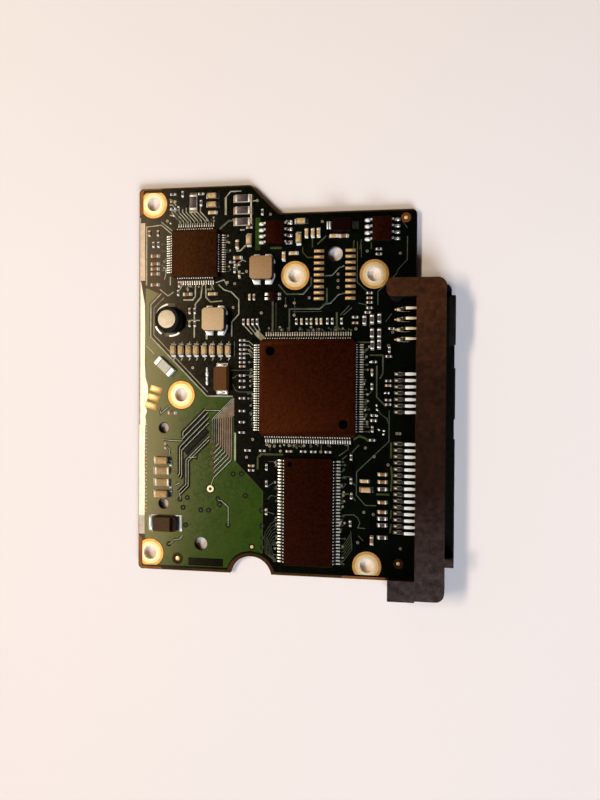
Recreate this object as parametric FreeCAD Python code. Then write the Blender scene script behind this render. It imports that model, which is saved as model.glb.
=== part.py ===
import FreeCAD, Part
import os

V = FreeCAD.Vector
UP = V(0, 0, 1)

# Sizes are in millimetres. Places are measured on the board from its lower left corner, X to the right,
# Y up the board and Z up from its outer face. They were drawn on a board of the width and length given
# here, and place() spreads them over the board's own size. save() moves every piece to the part's origin.
PLACES_DRAWN_ON = (58.25, 80.39)

# Board
BOARD_WIDTH = 58.25
BOARD_LENGTH = 80.39
BOARD_THICKNESS = 1.2
BOARD_CORNER_R = 1.0
STEP_START_X = 24.3
STEP_DROP = 6.0
STEP_CORNER_R = 1.5
NOTCH_X = 24.6
NOTCH_R = 4.45
NOTCH_CENTRE_BELOW_EDGE = 0.85

# Screw holes as places, and plain holes as place and radius
SCREW_HOLE_R = 1.45
SCREW_PAIR_SPACING = 16.2
SCREW_PAIR_PLACE = (33.65, 61.58)
CORNER_SCREW_PLACES = [(3.2, 77.1), (9.4, 37), (2.65, 3.5), (48.75, 2.7)]
PLAIN_HOLES = [(41.95, 65.8, 1.48), (13.85, 5.8, 1.4), (5.6, 30.0, 1.12), (5.6, 14.0, 1.12)]

# Large square chip
CONTROLLER_PLACE = (36.45, 38.63)
CONTROLLER_BODY = 20.0
CONTROLLER_HEIGHT = 1.5
CONTROLLER_LEAD_REACH = 1.0
CONTROLLER_PITCH = 0.5
CONTROLLER_SIDE_COUNT = 36
CONTROLLER_LEAD = (0.22, 0.15)
CONTROLLER_FOOT = 0.55

# Smaller square chip
DRIVER_PLACE = (12.53, 66.43)
DRIVER_BODY = 10.0
DRIVER_HEIGHT = 1.4
DRIVER_LEAD_REACH = 1.0
DRIVER_PITCH = 0.5
DRIVER_SIDE_COUNT = 16
DRIVER_LEAD = (0.22, 0.15)
DRIVER_FOOT = 0.55

# Long chip, leads on its two long sides
MEMORY_X = 36.77
MEMORY_GAP = 3.24
MEMORY_BODY_WIDTH = 10.16
MEMORY_BODY_LENGTH = 22.22
MEMORY_HEIGHT = 1.15
MEMORY_LEAD_REACH = 0.9
MEMORY_PITCH = 0.65
MEMORY_SIDE_COUNT = 33
MEMORY_LEAD = (0.3, 0.14)
MEMORY_FOOT = 0.5

# The two eight-lead chips
SMALL_CHIP_BODY_WIDTH = 3.9
SMALL_CHIP_BODY_LENGTH = 4.9
SMALL_CHIP_HEIGHT = 1.6
SMALL_CHIP_LEAD_REACH = 1.05
SMALL_CHIP_PITCH = 1.27
SMALL_CHIP_SIDE_COUNT = 4
SMALL_CHIP_LEAD = (0.42, 0.2)
SMALL_CHIP_FOOT = 0.6
SMALL_CHIP_SHOULDER = 0.3
FLASH_PLACE = (51.4, 70.45)
MOSFET_PLACE = (29.55, 70.35)

# Four-lead transistor
TRANSISTOR_PLACE = (29.05, 57.4)
TRANSISTOR_BODY_WIDTH = 1.3
TRANSISTOR_BODY_LENGTH = 2.2
TRANSISTOR_HEIGHT = 1.0
TRANSISTOR_LEAD_REACH = 0.65
TRANSISTOR_PITCH = 0.9
TRANSISTOR_SIDE_COUNT = 2
TRANSISTOR_LEAD = (0.4, 0.13)
TRANSISTOR_FOOT = 0.3

# Moulded bodies: gap under the body and slope of the sides
STANDOFF = 0.1
BODY_DRAFT = 0.14

# Square inductors
INDUCTOR_PLACES = [(26.98, 63.07), (16.94, 52.68)]
INDUCTOR_CORE = 4.8
INDUCTOR_CORNER_CUT = 0.85
INDUCTOR_HEIGHT = 2.6
INDUCTOR_TOP_BEVEL = 0.2
INDUCTOR_FOOT_REACH = 0.95
INDUCTOR_CLIP_WIDTH = 1.5
INDUCTOR_CLIP_HEIGHT = 1.3
INDUCTOR_CLIP_THICKNESS = 0.18
INDUCTOR_CLIP_SPACING = 1.56

# Round inductor
DRUM_PLACE = (7, 52.75)
DRUM_BASE = 5.4
DRUM_BASE_CORNER_CUT = 1.5
DRUM_BASE_HEIGHT = 0.6
DRUM_WINDING_R = 2.1
DRUM_WINDING_HEIGHT = 1.2
DRUM_FLANGE_R = 2.45
DRUM_FLANGE_HEIGHT = 0.8
DRUM_FOOT_REACH = 0.75
DRUM_FOOT_WIDTH = 2.2
DRUM_FOOT_THICKNESS = 0.18

# Two-ended moulded parts: place and angle, then length, width and height, then the end strips
END_STRIP_THICKNESS = 0.15
END_STRIP_SHARE_OF_HEIGHT = 0.45
TANTALUM_PLACE = (18.33, 40.43, 90)
TANTALUM_SIZE = (5.0, 3.0, 1.8)
TANTALUM_END_WIDTH = 2.3
TANTALUM_FOOT_REACH = 0.7
RECTIFIER_PLACE = (43.35, 71.45, 0)
RECTIFIER_SIZE = (4.1, 2.8, 2.1)
RECTIFIER_END_WIDTH = 1.5
RECTIFIER_FOOT_REACH = 1.2
DIODE_PLACE = (6.15, 9.85, 0)
DIODE_SIZE = (4.6, 3.2, 2.1)
DIODE_END_WIDTH = 2.6
DIODE_FOOT_REACH = 1.3
SENSOR_PLACE = (5.95, 42.95, -42)
SENSOR_SIZE = (2.6, 1.9, 1.2)
SENSOR_END_LENGTH = 0.9

# Chip resistors and capacitors: length, width, height, then place and angle of each
RESISTOR_1206_SIZE = (3.1, 1.55, 0.6)
RESISTORS_1206 = [(22.65, 77.6, 0), (22.65, 75.15, 0), (22.65, 72.8, 0), (12, 77.15, 90),
                  (5.35, 20.95, 0), (5.35, 18.5, 0)]
CAPACITOR_1206_SIZE = (3.1, 1.45, 1.2)
CAPACITORS_1206 = [(5.4, 23.2, 0), (5.4, 16.1, 0)]
CAPACITOR_0805_SIZE = (2.0, 1.25, 1.15)
CAPACITOR_ROW_Y = 46.35
CAPACITOR_ROW_X = [7.72, 9.42, 11.1, 12.72, 14.5, 16.2, 17.95, 19.64]
CAPACITORS_0805 = [(16.15, 78.35, 0), (16.15, 76.55, 0), (24, 69, 90), (34.9, 72.55, 0),
                   (34.4, 69.05, 90), (48.55, 18.2, 0)]
CHIP_0603_SIZE = (1.6, 0.8, 0.6)
CHIPS_0603 = [(16.15, 74.92, 0), (21.45, 68.2, 90), (21.6, 65.44, 0), (31.3, 65.5, 90),
              (33.35, 66.1, 0), (36, 70.1, 90), (37.3, 70.1, 90), (38.5, 70.15, 90),
              (16.2, 58.05, 0), (10.75, 58.05, 0), (41.7, 69.39, 0), (43.65, 69.35, 0),
              (3.6, 66.19, 0), (3.6, 64.54, 0), (3.6, 63.49, 0), (3.6, 62.44, 0), (3.6, 60.14, 0),
              (49.5, 52.5, 90), (50.95, 52.7, 90), (49.5, 49.7, 90), (50.95, 49.7, 90),
              (49.6, 47.3, 90), (50.95, 47.5, 90), (47.95, 52.3, 90),
              (48.25, 19.9, 0), (49.75, 7.95, 90)]
SUPPLY_CHIP_X = 51.85
SUPPLY_CHIP_Y = [21.35, 19.85, 18.4, 15.75, 13.8, 12.45, 11.15, 8.65]
CHIP_0402_SIZE = (1.0, 0.5, 0.38)
LEFT_CHIP_X = 22.6
LEFT_CHIP_Y = [48.4, 47.45, 46.5, 45.6, 44.75, 43.85, 43.0, 41.1, 40.0, 38.7, 36.4, 33.75, 31.45, 29.3]
TOP_CHIP_Y = 52.2
TOP_CHIP_X = [22.85, 23.85, 24.8, 25.75, 34.0, 35.05, 36.15, 37.05, 38.2, 39.1, 40.4, 41.4, 43.3]
UNDER_CHIP_GAP = 2.03
UNDER_CHIP_X = [23.85, 27.0, 32.6, 35.6, 37.7, 40.7]
EDGE_CHIP_X = 52.85
EDGE_CHIP_Y = [45.05, 40.15, 39.2, 36.3, 35.4]
CHIPS_0402 = [(46.1, 52.95, 0), (46.1, 51.8, 0), (48.95, 57.8, 0), (48.95, 56.8, 0),
              (48.95, 55.9, 0), (48.95, 54.8, 0), (50.75, 66.55, 0), (50.75, 65.55, 0),
              (24.65, 22.45, 0), (24.65, 21.5, 0), (27.9, 22.2, 90), (27.9, 18.8, 90),
              (27.9, 13, 90), (49.55, 41.9, 90), (49.55, 39, 90), (49.9, 43.95, 0),
              (49.95, 33.2, 0), (49.95, 32.2, 0), (49.7, 30.4, 90), (49.7, 28.2, 0),
              (45.35, 11.2, 90), (45.45, 24.65, 90), (45.55, 16.8, 90), (45.45, 19.85, 90),
              (24.1, 57.3, 90), (25.05, 57.3, 90), (26.75, 74.7, 90),
              (11.2, 54.6, 90), (12.35, 54.6, 90), (11.2, 51.9, 90), (12.35, 51.9, 90)]

# Edge connector: contacts, in rows along the board's right edge
CONTACT_PITCH = 1.27
POWER_COUNT = 15
SIGNAL_COUNT = 7
KEY_GAP_PITCHES = 5
LAST_POWER_Y = 9.76
JUMPER_GAP = 6.89
JUMPER_PITCH = 2.0
JUMPER_COUNT = 4
CONTACT_WIDTH = 0.62
CONTACT_THICKNESS = 0.2
CONTACT_LIFT = 0.95
CONTACT_FOOT_INSET = 3.9
CONTACT_FOOT = 1.3
CONTACT_RISE = 0.4
CONTACT_TIP_INSET = 0.6
JUMPER_WIDTH = 0.5
JUMPER_THICKNESS = 0.4
JUMPER_TIP_INSET = 0.9

# Edge connector: moulding
HOUSING_TOP = 6.0
HOUSING_BOARD_GAP = 0.3
BAR_WIDTH = 5.72
BACK_WALL = 1.75
ROOF_THICKNESS = 1.1
BLOCK_FLOOR = 0.4
BAR_CORNER_R = 1.7
TONGUE_THICKNESS = 1.2
TONGUE_REACH = 1.75
TONGUE_BEVEL = 0.3
TONGUE_MARGIN = 1.2
WEB_SETBACK = 0.9
LOW_BLOCK_OVERHANG = 2.76
LOW_BLOCK_MARGIN = 4.0
KEY_WIDTH = 1.65
HIGH_BLOCK_MARGIN = 2.2
HIGH_BLOCK_WIDTH = 3.6
LOW_EAR_REACH = 5.3
LOW_EAR_STEP = 0.3
LOW_EAR_SEAT = 1.08
HIGH_EAR_REACH = 5.85
HIGH_EAR_CORNER_R = 1.2
EAR_BOSS_R = 1.4
EAR_BOSS_HEIGHT = 2.2
EAR_BOSS_INSET = 1.7

# Places that follow from the sizes above
CONTROLLER_HALF_SPAN = CONTROLLER_BODY / 2 + CONTROLLER_LEAD_REACH
DRAWN_PER_MM = PLACES_DRAWN_ON[1] / BOARD_LENGTH
UNDER_CHIP_Y = CONTROLLER_PLACE[1] - (CONTROLLER_HALF_SPAN + UNDER_CHIP_GAP) * DRAWN_PER_MM
MEMORY_DROP = CONTROLLER_HALF_SPAN + MEMORY_GAP + MEMORY_BODY_LENGTH / 2
MEMORY_Y = CONTROLLER_PLACE[1] - MEMORY_DROP * DRAWN_PER_MM
POWER_TOP_Y = LAST_POWER_Y + (POWER_COUNT - 1) * CONTACT_PITCH
SIGNAL_LOW_Y = POWER_TOP_Y + KEY_GAP_PITCHES * CONTACT_PITCH
SIGNAL_TOP_Y = SIGNAL_LOW_Y + (SIGNAL_COUNT - 1) * CONTACT_PITCH
JUMPER_LOW_Y = SIGNAL_TOP_Y + JUMPER_GAP
JUMPER_TOP_Y = JUMPER_LOW_Y + (JUMPER_COUNT - 1) * JUMPER_PITCH
BAR_X = BOARD_WIDTH + HOUSING_BOARD_GAP
BAR_FRONT_X = BAR_X + BAR_WIDTH
TONGUE_TIP_X = BAR_FRONT_X + TONGUE_REACH
CONTACT_Z = BOARD_THICKNESS + CONTACT_LIFT
TONGUE_Z = CONTACT_Z + CONTACT_THICKNESS
TONGUE_TOP_Z = TONGUE_Z + TONGUE_THICKNESS
LOW_EAR_Y = -LOW_BLOCK_OVERHANG - LOW_EAR_STEP
LOW_BLOCK_TOP_Y = LAST_POWER_Y - LOW_BLOCK_MARGIN
HIGH_BLOCK_Y = JUMPER_TOP_Y + HIGH_BLOCK_MARGIN
HIGH_BLOCK_TOP_Y = HIGH_BLOCK_Y + HIGH_BLOCK_WIDTH
ORIGIN = V(TONGUE_TIP_X / 2, (LOW_EAR_Y + BOARD_LENGTH) / 2, 0)


def place(x, y):
    """Point of the drawn layout on a board of the size set above."""
    return (x * BOARD_WIDTH / PLACES_DRAWN_ON[0], y * BOARD_LENGTH / PLACES_DRAWN_ON[1])


def save(name, solids):
    """Write one node, as a single solid or a group of separate ones."""
    shape = solids[0] if len(solids) == 1 else Part.makeCompound(solids)
    shape.translate(-ORIGIN)
    shape.exportStep("parts/" + name + ".step")


def box(x0, x1, y0, y1, z0, z1):
    return Part.makeBox(x1 - x0, y1 - y0, z1 - z0, V(x0, y0, z0))


def centred_box(length, width, z0, z1):
    return box(-length / 2, length / 2, -width / 2, width / 2, z0, z1)


def set_down(shape, x, y, angle=0):
    """Turn a shape made about the origin and put it on the board's top face."""
    shape.rotate(V(0, 0, 0), UP, angle)
    px, py = place(x, y)
    shape.translate(V(px, py, BOARD_THICKNESS))
    return shape


def frustum(length, width, z0, z1, inset0, inset1):
    """Block whose four sides slope, drawn in by inset0 at z0 and by inset1 at z1."""
    a0 = length / 2 - inset0
    b0 = width / 2 - inset0
    a1 = length / 2 - inset1
    b1 = width / 2 - inset1
    shape = Part.makeWedge(-a0, z0, -b0, -b1, -a1, a0, z1, b0, b1, a1)
    shape.rotate(V(0, 0, 0), V(1, 0, 0), 90)
    return shape


def cut_corner_prism(size, corner_cut, z0, z1, bevel):
    """Square prism with its four upright edges cut off and its top edge bevelled."""
    h = size / 2
    c = h - corner_cut
    corners = [(h, c), (c, h), (-c, h), (-h, c), (-h, -c), (-c, -h), (c, -h), (h, -c)]
    points = [V(x, y, z0) for x, y in corners]
    prism = Part.Face(Part.makePolygon(points + points[:1])).extrude(V(0, 0, z1 - z0))
    if bevel == 0:
        return prism
    top_edges = [e for e in prism.Edges if all(abs(v.Z - z1) < 1e-6 for v in e.Vertexes)]
    return prism.makeChamfer(bevel, top_edges)


def strip(points, width):
    """Bent strip: a profile in X and Z, extruded across Y about Y = 0."""
    loop = [V(x, -width / 2, z) for x, z in points + points[:1]]
    return Part.Face(Part.makePolygon(loop)).extrude(V(0, width, 0))


def upright_edges(shape, x, y):
    """Edges parallel to Z that stand at one place."""
    found = []
    for edge in shape.Edges:
        if all(abs(v.X - x) < 1e-6 and abs(v.Y - y) < 1e-6 for v in edge.Vertexes):
            found.append(edge)
    return found


def screw_centres():
    x, y = place(*SCREW_PAIR_PLACE)
    return [place(*corner) for corner in CORNER_SCREW_PLACES] + [(x, y), (x + SCREW_PAIR_SPACING, y)]


def circuit_board():
    step_y = BOARD_LENGTH - STEP_DROP
    step_end_x = STEP_START_X + STEP_DROP
    round_corners = [(0, 0), (0, BOARD_LENGTH), (BOARD_WIDTH, step_y), (BOARD_WIDTH, 0)]
    step_corners = [(STEP_START_X, BOARD_LENGTH), (step_end_x, step_y)]
    outline = [(0, 0), (BOARD_WIDTH, 0), (BOARD_WIDTH, step_y), (step_end_x, step_y),
               (STEP_START_X, BOARD_LENGTH), (0, BOARD_LENGTH), (0, 0)]
    face = Part.Face(Part.makePolygon([V(x, y, 0) for x, y in outline]))
    board = face.extrude(V(0, 0, BOARD_THICKNESS))
    for corner in round_corners:
        board = board.makeFillet(BOARD_CORNER_R, upright_edges(board, *corner))
    for corner in step_corners:
        board = board.makeFillet(STEP_CORNER_R, upright_edges(board, *corner))
    holes = [(x, y, SCREW_HOLE_R) for x, y in screw_centres()]
    holes += [(*place(x, y), radius) for x, y, radius in PLAIN_HOLES]
    notch = Part.makeCylinder(NOTCH_R, BOARD_THICKNESS, V(NOTCH_X, -NOTCH_CENTRE_BELOW_EDGE, 0))
    cutters = [notch]
    for x, y, radius in holes:
        cutters.append(Part.makeCylinder(radius, BOARD_THICKNESS, V(x, y, 0)))
    return board.cut(Part.makeCompound(cutters))


def moulded_body(length, width, height, lead_thickness):
    """Chip moulding: sides slope away from a straight band where the leads come out."""
    band_z = lead_entry(height, lead_thickness)
    band_top_z = band_z + lead_thickness
    lower = frustum(length, width, STANDOFF, band_z, BODY_DRAFT, 0)
    band = centred_box(length, width, band_z, band_top_z)
    upper = frustum(length, width, band_top_z, height, 0, BODY_DRAFT)
    return lower.fuse([band, upper]).removeSplitter()


def lead_entry(height, lead_thickness):
    """Height of a lead's underside where it meets the middle of the moulding."""
    return (STANDOFF + height - lead_thickness) / 2


def gull_lead(body_width, reach, foot, height, lead, shoulder=0):
    """Lead along +X: flat foot, sloped riser and, where there is room, a flat shoulder."""
    width, thickness = lead
    root = body_width / 2
    tip = root + reach
    heel = tip - foot
    entry = lead_entry(height, thickness)
    bend = thickness / 2
    under = [(tip, 0), (heel, 0), (root + shoulder, entry)]
    over = [(heel + bend, thickness), (tip, thickness)]
    if shoulder == 0:
        return strip(under + [(root, entry + thickness)] + over, width)
    inner = [(root, entry), (root, entry + thickness), (root + shoulder + bend, entry + thickness)]
    return strip(under + inner + over, width)


def lead_rows(lead, count, pitch, angles, x, y):
    """Copies of one lead along each side of a chip."""
    solids = []
    for angle in angles:
        for i in range(count):
            copy = lead.copy()
            copy.translate(V(0, (i - (count - 1) / 2) * pitch, 0))
            solids.append(set_down(copy, x, y, angle))
    return solids


def two_ended_body(size):
    """Moulded block, straight up to the end strips' tops and sloped above."""
    length, width, height = size
    straight = height * END_STRIP_SHARE_OF_HEIGHT
    lower = centred_box(length, width, 0, straight)
    return lower.fuse(frustum(length, width, straight, height, 0, BODY_DRAFT)).removeSplitter()


def end_strips(size, reach, width):
    """Two L-shaped strips that lie against the ends of a moulded block."""
    root = size[0] / 2
    top = size[2] * END_STRIP_SHARE_OF_HEIGHT
    t = END_STRIP_THICKNESS
    tip = root + reach
    profile = [(root, 0), (tip, 0), (tip, t), (root + t, t), (root + t, top), (root, top)]
    near = strip(profile, width)
    far = near.copy()
    far.rotate(V(0, 0, 0), UP, 180)
    return [near, far]


def chips(size, places):
    """Group of equal chip parts lying on the board."""
    length, width, height = size
    return [set_down(centred_box(length, width, 0, height), x, y, angle) for x, y, angle in places]


def contact(y, foot_z, level_z, width, thickness, tip_x):
    """Connector contact: soldered foot, riser, then a straight run out to the mating end."""
    foot_x = BOARD_WIDTH - CONTACT_FOOT_INSET
    heel_x = foot_x + CONTACT_FOOT
    knee_x = heel_x + CONTACT_RISE
    bend = thickness / 2
    profile = [(foot_x, foot_z), (heel_x, foot_z), (knee_x, level_z), (tip_x, level_z),
               (tip_x, level_z + thickness), (knee_x - bend, level_z + thickness),
               (heel_x - bend, foot_z + thickness), (foot_x, foot_z + thickness)]
    shape = strip(profile, width)
    shape.translate(V(0, y, 0))
    return shape


def blade(y):
    tip_x = TONGUE_TIP_X - CONTACT_TIP_INSET
    return contact(y, BOARD_THICKNESS, CONTACT_Z, CONTACT_WIDTH, CONTACT_THICKNESS, tip_x)


def jumper_pin(y):
    tip_x = TONGUE_TIP_X - JUMPER_TIP_INSET
    level = (TONGUE_TOP_Z + HOUSING_TOP - ROOF_THICKNESS - JUMPER_THICKNESS) / 2
    return contact(y, BOARD_THICKNESS, level, JUMPER_WIDTH, JUMPER_THICKNESS, tip_x)


def row(make, low_y, count, pitch):
    return [make(low_y + i * pitch) for i in range(count)]


def tongue(y0, y1):
    """Flat tongue with a bevelled tip; its underside carries the contacts."""
    b = TONGUE_BEVEL
    z0 = TONGUE_Z
    z1 = TONGUE_TOP_Z
    points = [(BAR_X, z0), (TONGUE_TIP_X - b, z0), (TONGUE_TIP_X, z0 + b), (TONGUE_TIP_X, z1 - b),
              (TONGUE_TIP_X - b, z1), (BAR_X, z1)]
    shape = strip(points, y1 - y0)
    shape.translate(V(0, (y0 + y1) / 2, 0))
    return shape


def connector_housing(pins):
    """Edge connector moulding: back wall, roof, end blocks, ears, two keyed tongues and a jumper bay."""
    roof_z = HOUSING_TOP - ROOF_THICKNESS
    low_y = -LOW_BLOCK_OVERHANG
    pieces = [
        box(BAR_X, BAR_FRONT_X, low_y, HIGH_BLOCK_TOP_Y, roof_z, HOUSING_TOP),
        box(BAR_X, BAR_X + BACK_WALL, low_y, HIGH_BLOCK_TOP_Y, TONGUE_Z, HOUSING_TOP),
        box(BAR_X, BAR_FRONT_X, low_y, LOW_BLOCK_TOP_Y, BLOCK_FLOOR, HOUSING_TOP),
        box(BAR_X, BAR_FRONT_X, HIGH_BLOCK_Y, HIGH_BLOCK_TOP_Y, BLOCK_FLOOR, HOUSING_TOP),
        box(BAR_X, TONGUE_TIP_X, LOW_BLOCK_TOP_Y - KEY_WIDTH, LOW_BLOCK_TOP_Y, TONGUE_Z, HOUSING_TOP),
        box(BAR_X, TONGUE_TIP_X - WEB_SETBACK, LOW_BLOCK_TOP_Y, HIGH_BLOCK_Y, TONGUE_Z, TONGUE_TOP_Z),
        tongue(LOW_BLOCK_TOP_Y, POWER_TOP_Y + TONGUE_MARGIN),
        tongue(SIGNAL_LOW_Y - TONGUE_MARGIN, SIGNAL_TOP_Y + TONGUE_MARGIN),
        tongue(JUMPER_LOW_Y - TONGUE_MARGIN, HIGH_BLOCK_Y),
        box(BAR_X, BAR_FRONT_X, SIGNAL_LOW_Y - TONGUE_MARGIN - KEY_WIDTH, SIGNAL_LOW_Y - TONGUE_MARGIN,
            TONGUE_Z, HOUSING_TOP),
        box(BAR_X - LOW_EAR_REACH, BAR_X, LOW_EAR_Y, LOW_EAR_SEAT, BOARD_THICKNESS, HOUSING_TOP)]
    high_ear = box(BAR_X - HIGH_EAR_REACH, BAR_X, HIGH_BLOCK_Y, HIGH_BLOCK_TOP_Y,
                   BOARD_THICKNESS, HOUSING_TOP)
    for y in (HIGH_BLOCK_Y, HIGH_BLOCK_TOP_Y):
        edges = upright_edges(high_ear, BAR_X - HIGH_EAR_REACH, y)
        high_ear = high_ear.makeFillet(HIGH_EAR_CORNER_R, edges)
    boss_place = V(BAR_X - HIGH_EAR_REACH + EAR_BOSS_INSET, HIGH_BLOCK_Y + EAR_BOSS_R / 2, BOARD_THICKNESS)
    boss = Part.makeCylinder(EAR_BOSS_R, EAR_BOSS_HEIGHT, boss_place)
    housing = pieces[0].fuse(pieces[1:] + [high_ear, boss]).removeSplitter()
    for y in (low_y, HIGH_BLOCK_TOP_Y):
        housing = housing.makeFillet(BAR_CORNER_R, upright_edges(housing, BAR_FRONT_X, y))
    return housing.cut(Part.makeCompound(pins))


def inductor_terminals(x, y):
    """Four bent clips, two on each of the core's lower and upper sides."""
    root = INDUCTOR_CORE / 2
    t = INDUCTOR_CLIP_THICKNESS
    tip = root + INDUCTOR_FOOT_REACH
    profile = [(root, 0), (tip, 0), (tip, t), (root + t, t), (root + t, INDUCTOR_CLIP_HEIGHT),
               (root, INDUCTOR_CLIP_HEIGHT)]
    clip = strip(profile, INDUCTOR_CLIP_WIDTH)
    return lead_rows(clip, 2, INDUCTOR_CLIP_SPACING, (90, 270), x, y)


def drum_inductor():
    """Round inductor: cut-corner base, winding, top flange and two feet."""
    x, y = DRUM_PLACE
    winding_z = DRUM_BASE_HEIGHT
    flange_z = winding_z + DRUM_WINDING_HEIGHT
    base = cut_corner_prism(DRUM_BASE, DRUM_BASE_CORNER_CUT, 0, DRUM_BASE_HEIGHT, 0)
    winding = Part.makeCylinder(DRUM_WINDING_R, DRUM_WINDING_HEIGHT, V(0, 0, winding_z))
    flange = Part.makeCylinder(DRUM_FLANGE_R, DRUM_FLANGE_HEIGHT, V(0, 0, flange_z))
    root = DRUM_BASE / 2
    foot = box(root, root + DRUM_FOOT_REACH, -DRUM_FOOT_WIDTH / 2, DRUM_FOOT_WIDTH / 2,
               0, DRUM_FOOT_THICKNESS)
    save("drum_base", [set_down(base, x, y)])
    save("drum_winding", [set_down(winding, x, y)])
    save("drum_flange", [set_down(flange, x, y)])
    save("drum_terminals", lead_rows(foot, 1, 0, (90, 270), x, y))


def square_chip(name, where, body, height, reach, pitch, count, lead, foot):
    """Chip with leads on all four sides."""
    x, y = where
    one = gull_lead(body, reach, foot, height, lead)
    save(name + "_body", [set_down(moulded_body(body, body, height, lead[1]), x, y)])
    save(name + "_leads", lead_rows(one, count, pitch, (0, 90, 180, 270), x, y))


def two_row_chip(name, where, width, length, height, reach, pitch, count, lead, foot, shoulder=0):
    """Chip with leads on its left and right sides only."""
    x, y = where
    one = gull_lead(width, reach, foot, height, lead, shoulder)
    save(name + "_body", [set_down(moulded_body(width, length, height, lead[1]), x, y)])
    save(name + "_leads", lead_rows(one, count, pitch, (0, 180), x, y))


def large_chips():
    square_chip("controller", CONTROLLER_PLACE, CONTROLLER_BODY, CONTROLLER_HEIGHT, CONTROLLER_LEAD_REACH,
                CONTROLLER_PITCH, CONTROLLER_SIDE_COUNT, CONTROLLER_LEAD, CONTROLLER_FOOT)
    square_chip("driver", DRIVER_PLACE, DRIVER_BODY, DRIVER_HEIGHT, DRIVER_LEAD_REACH,
                DRIVER_PITCH, DRIVER_SIDE_COUNT, DRIVER_LEAD, DRIVER_FOOT)
    two_row_chip("memory", (MEMORY_X, MEMORY_Y), MEMORY_BODY_WIDTH, MEMORY_BODY_LENGTH, MEMORY_HEIGHT,
                 MEMORY_LEAD_REACH, MEMORY_PITCH, MEMORY_SIDE_COUNT, MEMORY_LEAD, MEMORY_FOOT)


def small_chips():
    for name, where in (("flash", FLASH_PLACE), ("mosfet", MOSFET_PLACE)):
        two_row_chip(name, where, SMALL_CHIP_BODY_WIDTH, SMALL_CHIP_BODY_LENGTH, SMALL_CHIP_HEIGHT,
                     SMALL_CHIP_LEAD_REACH, SMALL_CHIP_PITCH, SMALL_CHIP_SIDE_COUNT, SMALL_CHIP_LEAD,
                     SMALL_CHIP_FOOT, SMALL_CHIP_SHOULDER)
    two_row_chip("transistor", TRANSISTOR_PLACE, TRANSISTOR_BODY_WIDTH, TRANSISTOR_BODY_LENGTH,
                 TRANSISTOR_HEIGHT, TRANSISTOR_LEAD_REACH, TRANSISTOR_PITCH, TRANSISTOR_SIDE_COUNT,
                 TRANSISTOR_LEAD, TRANSISTOR_FOOT)


def two_ended_parts():
    moulded = [("tantalum", TANTALUM_PLACE, TANTALUM_SIZE, TANTALUM_FOOT_REACH, TANTALUM_END_WIDTH),
               ("rectifier", RECTIFIER_PLACE, RECTIFIER_SIZE, RECTIFIER_FOOT_REACH, RECTIFIER_END_WIDTH),
               ("diode", DIODE_PLACE, DIODE_SIZE, DIODE_FOOT_REACH, DIODE_END_WIDTH)]
    for name, where, size, reach, width in moulded:
        strips = end_strips(size, reach, width)
        save(name + "_body", [set_down(two_ended_body(size), *where)])
        save(name + "_ends", [set_down(one, *where) for one in strips])
    length, width, height = SENSOR_SIZE
    ends = []
    for side in (0, 180):
        end = box(length / 2, length / 2 + SENSOR_END_LENGTH, -width / 2, width / 2, 0, height)
        end.rotate(V(0, 0, 0), UP, side)
        ends.append(set_down(end, *SENSOR_PLACE))
    save("shock_sensor_body", [set_down(centred_box(length, width, 0, height), *SENSOR_PLACE)])
    save("shock_sensor_ends", ends)


def chip_parts():
    row_0805 = [(x, CAPACITOR_ROW_Y, 90) for x in CAPACITOR_ROW_X]
    supply = [(SUPPLY_CHIP_X, y, 0) for y in SUPPLY_CHIP_Y]
    small = [(LEFT_CHIP_X, y, 0) for y in LEFT_CHIP_Y]
    small += [(x, TOP_CHIP_Y, 90) for x in TOP_CHIP_X]
    small += [(x, UNDER_CHIP_Y, 0) for x in UNDER_CHIP_X]
    small += [(EDGE_CHIP_X, y, 0) for y in EDGE_CHIP_Y]
    save("resistors_1206", chips(RESISTOR_1206_SIZE, RESISTORS_1206))
    save("capacitors_1206", chips(CAPACITOR_1206_SIZE, CAPACITORS_1206))
    save("capacitors_0805", chips(CAPACITOR_0805_SIZE, row_0805 + CAPACITORS_0805))
    save("chips_0603", chips(CHIP_0603_SIZE, CHIPS_0603 + supply))
    save("chips_0402", chips(CHIP_0402_SIZE, small + CHIPS_0402))


def edge_connector():
    pins = row(jumper_pin, JUMPER_LOW_Y, JUMPER_COUNT, JUMPER_PITCH)
    save("connector_housing", [connector_housing(pins)])
    save("jumper_pins", pins)
    save("signal_contacts", row(blade, SIGNAL_LOW_Y, SIGNAL_COUNT, CONTACT_PITCH))
    save("power_contacts", row(blade, LAST_POWER_Y, POWER_COUNT, CONTACT_PITCH))


def inductors():
    for number, (x, y) in enumerate(INDUCTOR_PLACES, 1):
        core = cut_corner_prism(INDUCTOR_CORE, INDUCTOR_CORNER_CUT, 0, INDUCTOR_HEIGHT, INDUCTOR_TOP_BEVEL)
        save("inductor_core_" + str(number), [set_down(core, x, y)])
        save("inductor_terminals_" + str(number), inductor_terminals(x, y))


os.makedirs("parts", exist_ok=True)
save("circuit_board", [circuit_board()])
large_chips()
small_chips()
inductors()
drum_inductor()
two_ended_parts()
chip_parts()
edge_connector()
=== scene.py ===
import math
import random

import bmesh
import bpy
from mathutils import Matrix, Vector
from mathutils.geometry import tessellate_polygon


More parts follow.
